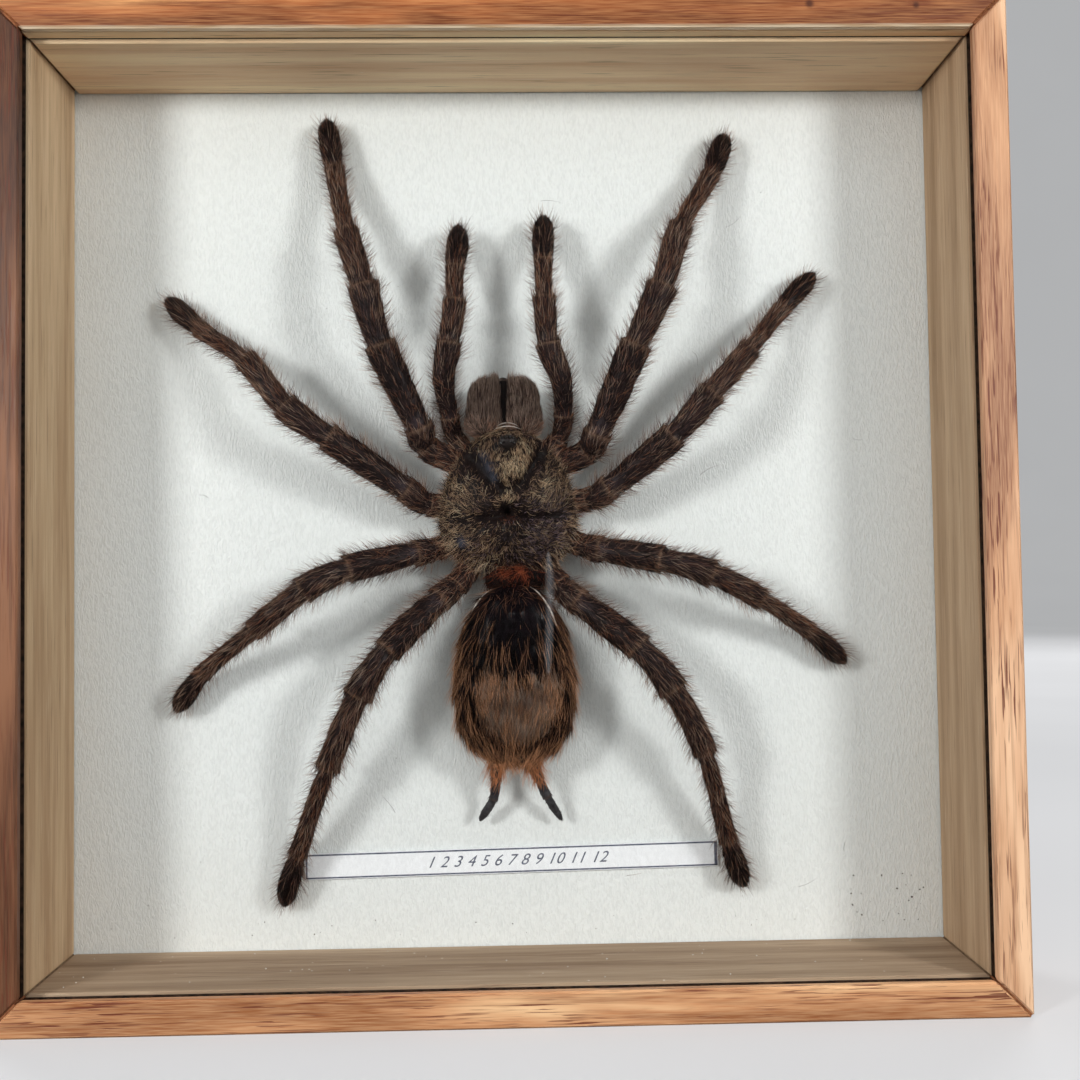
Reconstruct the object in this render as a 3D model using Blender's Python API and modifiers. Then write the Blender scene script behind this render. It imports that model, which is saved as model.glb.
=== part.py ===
"""Framed tarantula specimen: an oak box frame with a glazed front and a spider fixed on a white board.

Metres, +Z up. The frame stands on its bottom edge and its glass faces -Y. The origin is the middle
of the base, so X is across the frame and Z is its height.
"""

import math

import bmesh
import bpy
from mathutils import Matrix, Vector

MM = 0.001

# Frame
OPENING = 150 * MM  # clear square inside the front lip
FACE = 5.5 * MM  # width of a rail, seen from the front
DEPTH = 30 * MM
LIP = 1.6 * MM  # thickness of the lip that holds the glass
RABBET = 2.3 * MM  # how far the lip stands in from the rest of the rail
EDGE_BEVEL = 0.3 * MM
GAP = 0.3 * MM  # clearance between pieces that touch

# What the frame holds, from the front to the back
GLASS = 1.8 * MM
LINER = 2.0 * MM
TOP_LINER_PROUD = 0.6 * MM  # the top liner is thicker, and shows its front edge
BOARD_DEPTH = 23.5 * MM  # front of the frame to the front of the board
BOARD = 2.0 * MM
PANEL = 2.5 * MM

# Paper label, with its middle measured from the middle of the opening
LABEL_SIZE = (71.4 * MM, 4.4 * MM)
LABEL_THICKNESS = 0.2 * MM
LABEL_MIDDLE = (0.2 * MM, -60.4 * MM)
LABEL_TURN = math.radians(0.9)

# Steel framer's points that keep the back panel in, and the sawtooth hanger
POINT_WIDTH = 7.0 * MM
POINT_REACH = 9.0 * MM
POINT_THICKNESS = 0.5 * MM
POINT_OFFSET = 42 * MM  # from the middle of each rail
HANGER_SIZE = (44 * MM, 8 * MM)
HANGER_THICKNESS = 0.5 * MM
HANGER_TEETH = 9
TOOTH_DEPTH = 1.2 * MM
HANGER_DROP = 16 * MM  # from the inside of the top rail to the middle of the hanger
RIVET_RADIUS = 1.6 * MM
RIVET_HEIGHT = 0.5 * MM
RIVET_SPACING = 36 * MM

SIDE = OPENING + 2 * FACE
MIDDLE_Z = SIDE / 2
FRONT_Y = -DEPTH / 2
BOARD_Y = FRONT_Y + BOARD_DEPTH
GLASS_Y = FRONT_Y + LIP + GAP
LINER_START = LIP + 2 * GAP + GLASS
FILL_HALF = OPENING / 2 + RABBET - GAP
PANEL_Y = BOARD_Y + BOARD + GAP
BACK_HARDWARE_Y = PANEL_Y + PANEL + GAP

# The spider, in millimetres: x and z from the middle of the opening, height above the board, and
# diameter. A leg runs coxa, trochanter, femur, patella, tibia, metatarsus, tarsus.
LEG_WIDTHS = (3.5, 3.9, 4.3, 4.7, 4.3, 3.3, 2.8, 3.0)
LEG_HEIGHTS = (3.6, 4.8, 7.0, 11.0, 12.0, 9.0, 4.3, 2.4)
LEGS = {
    "leg_left_1": (
        (-5.6, 6.6), (-13.6, 11.0), (-14.8, 14.2), (-20.7, 27.4),
        (-23.3, 36.8), (-26.4, 46.9), (-29.1, 59.3), (-30.6, 68.4),
    ),
    "leg_left_2": (
        (-6.6, 1.6), (-13.2, 1.0), (-17.2, 3.6), (-29.4, 12.0),
        (-36.1, 16.9), (-43.3, 25.2), (-52.1, 31.6), (-58.2, 37.2),
    ),
    "leg_left_3": (
        (-6.4, -3.3), (-12.0, -6.6), (-15.6, -7.3), (-26.4, -9.9),
        (-33.3, -13.2), (-42.0, -19.6), (-51.9, -27.2), (-56.8, -33.4),
    ),
    "leg_left_4": (
        (-4.9, -7.7), (-8.8, -12.8), (-11.6, -15.2), (-19.9, -23.4),
        (-24.6, -30.5), (-30.1, -42.6), (-36.0, -57.9), (-38.7, -66.6),
    ),
    "leg_right_1": (
        (5.8, 6.4), (13.8, 9.8), (15.6, 12.8), (21.9, 27.1),
        (26.2, 36.4), (30.0, 47.4), (36.0, 57.7), (39.0, 65.5),
    ),
    "leg_right_2": (
        (6.8, 1.5), (13.8, 1.6), (17.6, 3.5), (27.9, 11.7),
        (34.1, 18.5), (41.2, 26.3), (47.9, 34.2), (54.1, 40.8),
    ),
    "leg_right_3": (
        (6.6, -3.2), (12.4, -6.1), (16.0, -7.0), (25.7, -8.9),
        (33.7, -11.3), (42.3, -15.6), (51.6, -21.3), (58.1, -26.8),
    ),
    "leg_right_4": (
        (5.1, -7.7), (8.8, -12.9), (12.2, -15.9), (21.6, -23.4),
        (27.0, -30.2), (32.5, -41.0), (37.1, -56.9), (39.9, -64.8),
    ),
}
PALP_WIDTHS = (2.8, 3.0, 3.9, 3.7, 3.1, 3.2, 2.8)
PALP_HEIGHTS = (4.0, 6.0, 9.0, 10.0, 9.0, 7.0, 4.0)
PALPS = {
    "pedipalp_left": (
        (-8.6, 12.0), (-9.5, 16.0), (-10.3, 21.8), (-9.3, 27.7), (-8.4, 35.0), (-8.3, 41.2), (-7.7, 49.2),
    ),
    "pedipalp_right": (
        (8.9, 12.0), (9.9, 16.2), (9.4, 21.7), (7.3, 27.4), (6.8, 35.4), (6.7, 42.3), (6.9, 50.8),
    ),
}
SPINNERET_WIDTHS = (2.0, 1.6, 1.4, 0.9)
SPINNERET_HEIGHTS = (5.0, 4.6, 3.8, 2.2)
SPINNERETS = {
    "spinneret_left": ((-2.2, -43.2), (-2.4, -46.0), (-2.9, -49.2), (-5.3, -53.2)),
    "spinneret_right": ((4.0, -43.2), (5.0, -46.0), (6.3, -49.0), (8.8, -53.3)),
}
LIMB_STEPS = 4  # cross-sections between two joints of a limb
LIMB_FACETS = 2  # bevel resolution, which gives eight sides


def material(name, colour, roughness, metallic=0.0, transmission=0.0):
    made = bpy.data.materials.new(name)
    made.use_nodes = True
    shader = made.node_tree.nodes["Principled BSDF"]
    shader.inputs["Base Color"].default_value = (*colour, 1.0)
    shader.inputs["Roughness"].default_value = roughness
    shader.inputs["Metallic"].default_value = metallic
    shader.inputs["Transmission Weight"].default_value = transmission
    return made


def place(name, data, finish, location=(0, 0, 0), turn=None):
    """Add an object with its own material to the specimen's collection."""
    thing = bpy.data.objects.new(name, data)
    thing.location = location
    if turn is not None:
        thing.rotation_euler = turn
    data.materials.append(finish)
    specimen.objects.link(thing)
    return thing


def on_board(x, z, height):
    """A point given in millimetres from the middle of the opening and above the board."""
    return Vector((x * MM, BOARD_Y - height * MM, MIDDLE_Z + z * MM))


def mitred_section(profile):
    """Extrude a profile of (outward, depth) points along the bottom side, with its ends mitred."""
    bm = bmesh.new()
    half = OPENING / 2 - GAP / math.sqrt(2)
    corners = [bm.verts.new((-half, FRONT_Y + depth, -OPENING / 2 - out)) for out, depth in profile]
    cap = bm.faces.new(corners)
    run = bmesh.ops.extrude_face_region(bm, geom=[cap])["geom"]
    far = [v for v in run if isinstance(v, bmesh.types.BMVert)]
    bmesh.ops.translate(bm, verts=far, vec=(2 * half, 0, 0))
    for v in bm.verts:
        outward = -v.co.z - OPENING / 2
        v.co.x += outward * math.copysign(1.0, v.co.x)
    bmesh.ops.recalc_face_normals(bm, faces=bm.faces)
    mesh = bpy.data.meshes.new("section")
    bm.to_mesh(mesh)
    bm.free()
    return mesh


def bevelled(thing, width, segments=1):
    bevel = thing.modifiers.new("Edge", "BEVEL")
    bevel.width = width
    bevel.segments = segments
    bevel.limit_method = "ANGLE"
    bevel.angle_limit = math.radians(40)


def four_sides(kind, profiles, finish, bevel_width):
    """One mitred length for each side of the opening, turned about the middle of the frame."""
    for quarter, side in enumerate(("bottom", "left", "top", "right")):
        mesh = mitred_section(profiles.get(side, profiles["any"]))
        turn = (0, quarter * math.pi / 2, 0)
        length = place(f"{kind}_{side}", mesh, finish(side), (0, 0, MIDDLE_Z), turn)
        bevelled(length, bevel_width)


def slab(name, size, y, finish, middle=(0, 0), turn=0.0):
    """A flat rectangular sheet whose front is at y."""
    width, thickness, height = size
    bm = bmesh.new()
    bmesh.ops.create_cube(bm, size=1.0, matrix=Matrix.Diagonal((width, thickness, height, 1.0)))
    mesh = bpy.data.meshes.new(name)
    bm.to_mesh(mesh)
    bm.free()
    place(name, mesh, finish, (middle[0], y + thickness / 2, MIDDLE_Z + middle[1]), (0, -turn, 0))


def smooth_path(joints, steps):
    """Points along a Catmull-Rom curve through the joints, each joint a tuple of any length."""
    path = []
    last = len(joints) - 1
    for i in range(last):
        before, start = joints[max(i - 1, 0)], joints[i]
        end, after = joints[i + 1], joints[min(i + 2, last)]
        for step in range(steps):
            t = step / steps
            path.append(tuple(
                0.5 * (2 * b + (c - a) * t + (2 * a - 5 * b + 4 * c - d) * t * t
                       + (3 * b - a - 3 * c + d) * t ** 3)
                for a, b, c, d in zip(before, start, end, after)
            ))
    path.append(joints[last])
    return path


def limb(name, places, heights, widths, finish):
    """A tapering tube through a limb's joints."""
    joints = [(x, z, h, w) for (x, z), h, w in zip(places, heights, widths)]
    path = smooth_path(joints, LIMB_STEPS)
    curve = bpy.data.curves.new(name, "CURVE")
    curve.dimensions = "3D"
    curve.bevel_depth = MM / 2
    curve.bevel_resolution = LIMB_FACETS
    curve.use_fill_caps = True
    spline = curve.splines.new("POLY")
    spline.points.add(len(path) - 1)
    for point, (x, z, height, width) in zip(spline.points, path):
        point.co = (*on_board(x, z, height), 1.0)
        point.radius = width
    place(name, curve, finish)


def body_form(name, middle, half_length, section, finish, around=20, rings=14):
    """A closed form with its poles at the front and rear ends. section(t, side, top) gives a
    vertex's x offset and height offset in millimetres, where t runs from -1 at the rear to 1 at
    the front, and side and top are the direction round the ring.
    """
    bm = bmesh.new()
    bmesh.ops.create_uvsphere(bm, u_segments=around, v_segments=rings, radius=1.0)
    for v in bm.verts:
        t = v.co.z
        ring = math.hypot(v.co.x, v.co.y)
        side, top = (v.co.x / ring, v.co.y / ring) if ring > 1e-6 else (0.0, 0.0)
        across, up = section(t, side, top)
        v.co = on_board(middle[0] + across, middle[1] + t * half_length, middle[2] + up)
    bmesh.ops.reverse_faces(bm, faces=bm.faces)  # the height axis points to -Y, a reflection
    mesh = bpy.data.meshes.new(name)
    bm.to_mesh(mesh)
    bm.free()
    mesh.shade_smooth()
    place(name, mesh, finish)


def bulge(t, power=2.3):
    """The outline of a rounded form: 1 in the middle and 0 at both ends."""
    return max(1 - abs(t) ** power, 0.0) ** (1 / power)


def cephalothorax_section(t, side, top):
    """A domed carapace over a narrow breastplate, which leaves room for the coxae at the sides."""
    half_width = 11.0 * bulge(t) * (1 - 0.2 * t)
    if top >= 0:
        return half_width * side, 5.2 * bulge(t) * top
    return 0.5 * half_width * side, -3.6 * bulge(t) * top * top


def abdomen_section(t, side, top):
    """An egg that is widest towards the rear and lies on the board."""
    swell = bulge(t, 2.2)
    height = 5.6 if top > 0 else 4.8
    return 10.2 * swell * (1 - 0.16 * t) * side, height * swell * top


def chelicera_section(t, side, top):
    swell = bulge(t, 2.6)
    return 2.75 * swell * (1 - 0.08 * t) * side, 3.3 * swell * top


def framer_point(name, quarter, offset, finish):
    """A kite-shaped steel point lying on the back panel, with its blunt end at the rail."""
    shape = bpy.data.curves.new(name, "CURVE")
    shape.dimensions = "2D"
    shape.fill_mode = "BOTH"
    shape.extrude = POINT_THICKNESS / 2
    outline = shape.splines.new("POLY")
    half = POINT_WIDTH / 2
    corners = (
        (-half * 0.45, 0.0), (half * 0.45, 0.0), (half, POINT_REACH * 0.35),
        (half * 0.12, POINT_REACH), (-half * 0.12, POINT_REACH), (-half, POINT_REACH * 0.35),
    )
    outline.points.add(len(corners) - 1)
    for point, (x, y) in zip(outline.points, corners):
        point.co = (x + offset, y - FILL_HALF, 0.0, 1.0)
    outline.use_cyclic_u = True
    y_middle = BACK_HARDWARE_Y + POINT_THICKNESS / 2
    thing = place(name, shape, finish)
    upright = Matrix.Rotation(math.pi / 2, 4, "X")
    thing.matrix_world = (
        Matrix.Translation((0, y_middle, MIDDLE_Z))
        @ Matrix.Rotation(quarter * math.pi / 2, 4, "Y")
        @ upright
    )


def sawtooth_hanger(finish):
    """A long plate with rounded ends and a row of teeth cut in the middle of its lower edge."""
    width, height = HANGER_SIZE
    radius = height / 2
    straight = width / 2 - radius
    steps = 6
    toothed = straight * 0.62
    tooth = 2 * toothed / HANGER_TEETH
    outline_points = []
    for end in (1, -1):
        for step in range(steps + 1):
            angle = math.pi / 2 - math.pi * step / steps
            turned = angle if end == 1 else angle + math.pi
            outline_points.append((end * straight + radius * math.cos(turned), radius * math.sin(turned)))
        if end == 1:
            for index in range(HANGER_TEETH):
                right = toothed - index * tooth
                outline_points.append((right, -radius))
                outline_points.append((right - tooth / 2, -radius + TOOTH_DEPTH))
            outline_points.append((-toothed, -radius))
    plate = bpy.data.curves.new("sawtooth_hanger", "CURVE")
    plate.dimensions = "2D"
    plate.fill_mode = "BOTH"
    plate.extrude = HANGER_THICKNESS / 2
    outline = plate.splines.new("POLY")
    outline.points.add(len(outline_points) - 1)
    for point, (x, y) in zip(outline.points, outline_points):
        point.co = (x, y, 0.0, 1.0)
    outline.use_cyclic_u = True
    middle = (0, BACK_HARDWARE_Y + HANGER_THICKNESS / 2, HANGER_Z)
    place("sawtooth_hanger", plate, finish, middle, (math.pi / 2, 0, 0))


def rivet(name, x, finish):
    """A low domed head, turned about Y."""
    bm = bmesh.new()
    profile = ((0.0, RIVET_HEIGHT), (0.55, RIVET_HEIGHT * 0.86), (1.0, RIVET_HEIGHT * 0.3), (1.0, 0.0), (0.0, 0.0))
    corners = [bm.verts.new((share * RIVET_RADIUS, 0.0, level)) for share, level in profile]
    for a, b in zip(corners, corners[1:]):
        bm.edges.new((a, b))
    mesh = bpy.data.meshes.new(name)
    bm.to_mesh(mesh)
    bm.free()
    head_y = BACK_HARDWARE_Y + HANGER_THICKNESS + GAP
    head = place(name, mesh, finish, (x, head_y, HANGER_Z), (-math.pi / 2, 0, 0))
    turned = head.modifiers.new("Turn", "SCREW")
    turned.steps = 12
    turned.render_steps = 12
    turned.use_merge_vertices = True
    turned.merge_threshold = 1e-5


HANGER_Z = MIDDLE_Z + FILL_HALF - HANGER_DROP

for old in list(bpy.data.objects):
    bpy.data.objects.remove(old)
specimen = bpy.data.collections.new("framed_tarantula_specimen")
bpy.context.scene.collection.children.link(specimen)

oak = {
    "top": material("oak_top", (0.36, 0.13, 0.05), 0.5),
    "bottom": material("oak_bottom", (0.56, 0.31, 0.15), 0.5),
    "left": material("oak_left", (0.36, 0.16, 0.08), 0.5),
    "right": material("oak_right", (0.54, 0.28, 0.15), 0.5),
}
liner_wood = material("liner_wood", (0.30, 0.22, 0.15), 0.7)
clear_glass = material("clear_glass", (0.98, 1.0, 0.99), 0.02, transmission=1.0)
white_card = material("white_card", (0.76, 0.76, 0.73), 0.45)
hardboard = material("hardboard", (0.23, 0.13, 0.07), 0.75)
paper = material("paper", (0.85, 0.85, 0.83), 0.8)
steel = material("steel", (0.55, 0.56, 0.58), 0.35, metallic=1.0)
leg_skin = material("leg_skin", (0.05, 0.03, 0.022), 0.6)
carapace_skin = material("carapace_skin", (0.14, 0.10, 0.05), 0.6)
abdomen_skin = material("abdomen_skin", (0.06, 0.035, 0.03), 0.6)
jaw_skin = material("jaw_skin", (0.15, 0.11, 0.09), 0.6)
spinneret_skin = material("spinneret_skin", (0.05, 0.055, 0.06), 0.6)

rail_profile = (
    (0.0, 0.0), (FACE, 0.0), (FACE, DEPTH), (RABBET, DEPTH), (RABBET, LIP), (0.0, LIP),
)
liner_back = BOARD_DEPTH - GAP


def liner_profile(inset):
    outer = RABBET - GAP
    return ((-inset, LINER_START), (outer, LINER_START), (outer, liner_back), (-inset, liner_back))


four_sides("frame_rail", {"any": rail_profile}, oak.get, EDGE_BEVEL)
liners = {"any": liner_profile(LINER - RABBET + GAP), "top": liner_profile(TOP_LINER_PROUD)}
four_sides("liner", liners, lambda side: liner_wood, EDGE_BEVEL / 2)

fill = 2 * FILL_HALF
slab("glass", (fill, GLASS, fill), GLASS_Y, clear_glass)
slab("white_board", (fill, BOARD, fill), BOARD_Y, white_card)
slab("back_panel", (fill, PANEL, fill), PANEL_Y, hardboard)
label_size = (LABEL_SIZE[0], LABEL_THICKNESS, LABEL_SIZE[1])
slab("label", label_size, BOARD_Y - GAP - LABEL_THICKNESS, paper, LABEL_MIDDLE, LABEL_TURN)

body_form("cephalothorax", (0.2, 1.3, 6.7), 12.0, cephalothorax_section, carapace_skin)
body_form("abdomen", (0.9, -27.8, 6.2), 14.2, abdomen_section, abdomen_skin)
body_form("chelicera_left", (-3.3, 18.3, 7.3), 4.4, chelicera_section, jaw_skin, 12, 10)
body_form("chelicera_right", (3.1, 18.3, 7.3), 4.4, chelicera_section, jaw_skin, 12, 10)
for limbs, heights, widths, skin in (
    (LEGS, LEG_HEIGHTS, LEG_WIDTHS, leg_skin),
    (PALPS, PALP_HEIGHTS, PALP_WIDTHS, leg_skin),
    (SPINNERETS, SPINNERET_HEIGHTS, SPINNERET_WIDTHS, spinneret_skin),
):
    for limb_name, places in limbs.items():
        limb(limb_name, places, heights, widths, skin)

for quarter, side in enumerate(("bottom", "left", "top", "right")):
    for number, offset in enumerate((-POINT_OFFSET, POINT_OFFSET), start=1):
        framer_point(f"framer_point_{side}_{number}", quarter, offset, steel)
sawtooth_hanger(steel)
rivet("hanger_rivet_left", -RIVET_SPACING / 2, steel)
rivet("hanger_rivet_right", RIVET_SPACING / 2, steel)
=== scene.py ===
"""Looks of the framed tarantula specimen: its wood, glass, board and label, and the spider's skin and fur."""

import math

import bmesh
import bpy
import numpy as np
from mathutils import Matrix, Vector


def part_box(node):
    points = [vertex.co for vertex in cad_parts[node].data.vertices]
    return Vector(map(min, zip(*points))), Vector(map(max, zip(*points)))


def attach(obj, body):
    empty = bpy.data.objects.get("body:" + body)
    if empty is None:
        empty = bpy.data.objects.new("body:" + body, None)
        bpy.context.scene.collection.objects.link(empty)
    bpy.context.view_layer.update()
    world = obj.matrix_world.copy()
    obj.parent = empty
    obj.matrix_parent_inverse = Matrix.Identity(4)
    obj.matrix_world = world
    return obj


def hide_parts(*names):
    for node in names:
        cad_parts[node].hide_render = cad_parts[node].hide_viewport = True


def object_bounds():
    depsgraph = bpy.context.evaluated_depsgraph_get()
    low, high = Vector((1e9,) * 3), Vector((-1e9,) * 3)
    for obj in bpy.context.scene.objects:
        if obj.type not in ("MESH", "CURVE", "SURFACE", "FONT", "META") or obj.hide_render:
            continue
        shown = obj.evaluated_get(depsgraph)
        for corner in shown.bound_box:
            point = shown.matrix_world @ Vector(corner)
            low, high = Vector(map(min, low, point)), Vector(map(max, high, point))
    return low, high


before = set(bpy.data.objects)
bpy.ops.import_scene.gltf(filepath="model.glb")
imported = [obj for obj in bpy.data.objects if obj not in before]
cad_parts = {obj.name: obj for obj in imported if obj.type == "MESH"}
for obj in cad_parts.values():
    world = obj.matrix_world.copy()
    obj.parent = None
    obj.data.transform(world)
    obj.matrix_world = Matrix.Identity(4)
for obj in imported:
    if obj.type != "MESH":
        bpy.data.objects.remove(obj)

cad_low, cad_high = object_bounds()

MM = 0.001
SEED = 20261

# Places that come from the CAD model
MIDDLE_Z = (cad_low.z + cad_high.z) / 2
FRONT_Y = cad_low.y
BOARD_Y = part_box("white_board")[0][1]
HALF_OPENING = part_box("liner_right")[0][0]
LINER_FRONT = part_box("liner_right")[0][1]
GLASS_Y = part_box("glass")[0][1]

# Camera, at the distance and tilt of a hand-held phone, with its angles in degrees
CAMERA_PLACE = (1.2 * MM, -194.2 * MM, 68.2 * MM)
CAMERA_TURN = (92.05, 0.76, -1.25)
CAMERA_ANGLE = 50.0


# ---------------------------------------------------------------- colours and node helpers


def paint(red, green, blue):
    """A display colour, 0 to 255, as a linear colour."""
    levels = []
    for level in (red, green, blue):
        share = level / 255
        levels.append(share / 12.92 if share <= 0.04045 else ((share + 0.055) / 1.055) ** 2.4)
    return (*levels, 1.0)


class Finish:
    """A material with a Principled shader, and short ways to add the nodes behind it."""

    def __init__(self, name, **constants):
        self.material = bpy.data.materials.new(name)
        self.material.use_nodes = True
        self.tree = self.material.node_tree
        self.shader = self.tree.nodes["Principled BSDF"]
        for socket, value in constants.items():
            self.shader.inputs[socket.replace("_", " ")].default_value = value

    def node(self, kind, inputs, **settings):
        made = self.tree.nodes.new(kind)
        for key, value in settings.items():
            setattr(made, key, value)
        for key, value in inputs.items():
            self.feed(made.inputs[key], value)
        return made

    def feed(self, socket, value):
        if isinstance(value, bpy.types.NodeSocket):
            self.tree.links.new(value, socket)
        else:
            socket.default_value = value

    def place(self, scale=(1, 1, 1), offset=(0, 0, 0)):
        """Object coordinates in metres, scaled."""
        source = self.node("ShaderNodeTexCoord", {})
        inputs = {"Vector": source.outputs["Object"], "Scale": scale, "Location": offset}
        return self.node("ShaderNodeMapping", inputs).outputs["Vector"]

    def noise(self, vector, scale=1.0, detail=2.0, roughness=0.5, distortion=0.0):
        inputs = {
            "Vector": vector, "Scale": scale, "Detail": detail,
            "Roughness": roughness, "Distortion": distortion,
        }
        return self.node("ShaderNodeTexNoise", inputs).outputs["Fac"]

    def ramp(self, value, stops):
        made = self.node("ShaderNodeValToRGB", {"Fac": value})
        points = made.color_ramp.elements
        while len(points) < len(stops):
            points.new(0.5)
        for point, (position, colour) in zip(points, stops):
            point.position = position
            point.color = colour
        return made.outputs["Color"]

    def span(self, value, low, high, to_low=0.0, to_high=1.0):
        """A value moved from one range to another, clamped."""
        inputs = {"Value": value, "From Min": low, "From Max": high, "To Min": to_low, "To Max": to_high}
        return self.node("ShaderNodeMapRange", inputs).outputs["Result"]

    def sum(self, kind, first, second=0.0):
        return self.node("ShaderNodeMath", {0: first, 1: second}, operation=kind).outputs["Value"]

    def mix(self, share, first, second, blend="MIX"):
        inputs = {0: share, 6: first, 7: second}
        made = self.node("ShaderNodeMix", inputs, data_type="RGBA", blend_type=blend)
        return made.outputs[2]

    def attribute(self, name):
        return self.node("ShaderNodeAttribute", {}, attribute_name=name).outputs["Fac"]

    def specks(self, vector, scale, radius, share):
        """Round spots in some of the cells of a Voronoi texture, from 0 to 1."""
        cells = self.node("ShaderNodeTexVoronoi", {"Vector": vector, "Scale": scale})
        near = self.span(cells.outputs["Distance"], radius, radius * 0.5)
        chosen = self.node("ShaderNodeSeparateColor", {"Color": cells.outputs["Color"]})
        return self.sum("MULTIPLY", near, self.sum("LESS_THAN", chosen.outputs[0], share))

    def bump(self, height, strength, distance):
        inputs = {"Height": height, "Strength": strength, "Distance": distance}
        return self.node("ShaderNodeBump", inputs).outputs["Normal"]

    def wear(self, colour=None, roughness=None, normal=None):
        for socket, value in (("Base Color", colour), ("Roughness", roughness), ("Normal", normal)):
            if value is not None:
                self.feed(self.shader.inputs[socket], value)
        return self.material


def stretched(along, coarse, fine):
    """A texture scale that is coarse along the grain and fine across it."""
    return tuple(coarse if axis == along else fine for axis in "XYZ")


# ---------------------------------------------------------------- frame materials


def oak(name, along, dark, middle, light, streak, pores, knots=()):
    """Oiled oak with its grain along one axis. The knotty top rail has a raw, pale inner side, painted paler
    than the wood as painted light because that face lies in shade.
    """
    wood = Finish(name, Specular_IOR_Level=0.35)
    broad = wood.noise(wood.place(stretched(along, 14, 110)), 1.0, 3.0, 0.55, 0.4)
    colour = wood.ramp(broad, ((0.37, dark), (0.50, middle), (0.64, light)))
    lines = wood.noise(wood.place(stretched(along, 26, 820)), 1.0, 4.0, 0.62, 0.8)
    veins = wood.span(lines, 0.47, 0.66)
    colour = wood.mix(wood.sum("MULTIPLY", veins, 0.62), colour, streak)
    fibre = wood.noise(wood.place(stretched(along, 160, 4200)), 1.0, 2.0, 0.6)
    colour = wood.mix(wood.span(fibre, 0.35, 0.7, 0.0, 0.35), colour, light)
    cells = wood.noise(wood.place(stretched(along, 130, 3700), offset=(3, 1, 2)), 1.0, 1.5, 0.5, 0.4)
    patches = wood.noise(wood.place(stretched(along, 60, 300)), 1.0, 2.0)
    holes = wood.sum("MULTIPLY", wood.span(cells, 0.57, 0.63), wood.span(patches, 0.40, 0.58))
    colour = wood.mix(wood.sum("MULTIPLY", holes, pores), colour, paint(108, 48, 30))
    centre = wood.place()
    for x, z, radius in knots:
        away = wood.node("ShaderNodeVectorMath", {0: centre, 1: (x, FRONT_Y, z)}, operation="DISTANCE")
        spot = wood.span(away.outputs["Value"], radius, radius * 0.35)
        colour = wood.mix(wood.sum("MULTIPLY", spot, 0.85), colour, paint(70, 32, 20))
    if knots:
        # Painted light: the top rail's inner face is raw pale wood, made paler still to stand in for light on
        # a face that lies in shade.
        raw = wood.noise(wood.place(stretched(along, 120, 2600)), 1.0, 3.0)
        pale = wood.ramp(raw, ((0.35, paint(214, 180, 140)), (0.65, paint(250, 228, 196))))
        colour = wood.mix(inner_side(wood, centre), colour, pale)
    height = wood.sum("SUBTRACT", wood.sum("MULTIPLY", fibre, 0.5), holes)
    polish = wood.span(fibre, 0.3, 0.7, 0.42, 0.62)
    return wood.wear(colour, polish, wood.bump(height, 0.5, 0.06 * MM))


def inner_side(wood, centre):
    """1 on the faces that line the opening, and 0 outside them."""
    parts = wood.node("ShaderNodeSeparateXYZ", {"Vector": centre})
    across = wood.sum("ABSOLUTE", parts.outputs["X"])
    upright = wood.sum("ABSOLUTE", wood.sum("SUBTRACT", parts.outputs["Z"], MIDDLE_Z))
    away = wood.sum("MAXIMUM", across, upright)
    return wood.span(away, HALF_OPENING + 0.45 * MM, HALF_OPENING + 0.05 * MM)


def liner_wood(name, along, dark, light):
    """Matt taupe wood with a fine straight grain, a few dark threads and white dust."""
    wood = Finish(name, Specular_IOR_Level=0.2)
    broad = wood.noise(wood.place(stretched(along, 10, 220)), 1.0, 3.0, 0.6)
    colour = wood.ramp(broad, ((0.32, dark), (0.68, light)))
    lines = wood.noise(wood.place(stretched(along, 40, 1500)), 1.0, 3.0, 0.6)
    colour = wood.mix(wood.span(lines, 0.55, 0.75, 0.0, 0.5), colour, dark)
    threads = wood.noise(wood.place(stretched(along, 90, 2600), offset=(5, 2, 7)), 1.0, 2.0)
    colour = wood.mix(wood.span(threads, 0.62, 0.72, 0.0, 0.45), colour, paint(96, 70, 48))
    pale = wood.mix(0.5, light, paint(226, 208, 184))
    colour = wood.mix(wood.span(threads, 0.40, 0.26, 0.0, 0.45), colour, pale)
    dust = wood.specks(wood.place(), 420, 0.09, 0.10)
    colour = wood.mix(wood.sum("MULTIPLY", dust, 0.8), colour, paint(232, 222, 206))
    height = wood.sum("ADD", lines, wood.sum("MULTIPLY", threads, 0.5))
    return wood.wear(colour, wood.span(lines, 0.3, 0.7, 0.62, 0.8), wood.bump(height, 0.4, 0.05 * MM))


def embossed_card():
    """Off-white card pressed with short, wavy, upright ridges."""
    card = Finish("embossed_card", Specular_IOR_Level=0.42)
    ridges = card.noise(card.place((2700, 2700, 900)), 1.0, 1.5, 0.45, 1.1)
    fine = card.noise(card.place((3600, 3600, 1800)), 1.0, 2.0, 0.5, 0.4)
    height = card.sum("ADD", card.span(ridges, 0.36, 0.64), card.sum("MULTIPLY", fine, 0.25))
    # Painted light and shade: the tone follows the ridges, paler on their tops and greyer in the furrows
    # between them.
    tone = card.ramp(ridges, ((0.34, paint(224, 227, 225)), (0.56, paint(234, 237, 235))))
    broad = card.noise(card.place((18, 18, 12)), 1.0, 2.0)
    tone = card.mix(card.span(broad, 0.35, 0.65, 0.0, 0.25), tone, paint(214, 216, 210))
    marks = card.specks(card.place(offset=(0.4, 0, 0.2)), 130, 0.035, 0.2)
    tone = card.mix(card.sum("MULTIPLY", marks, 0.45), tone, paint(150, 146, 136))
    shine = card.span(fine, 0.3, 0.7, 0.34, 0.5)
    return card.wear(tone, shine, card.bump(height, 0.9, 0.06 * MM))


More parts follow.
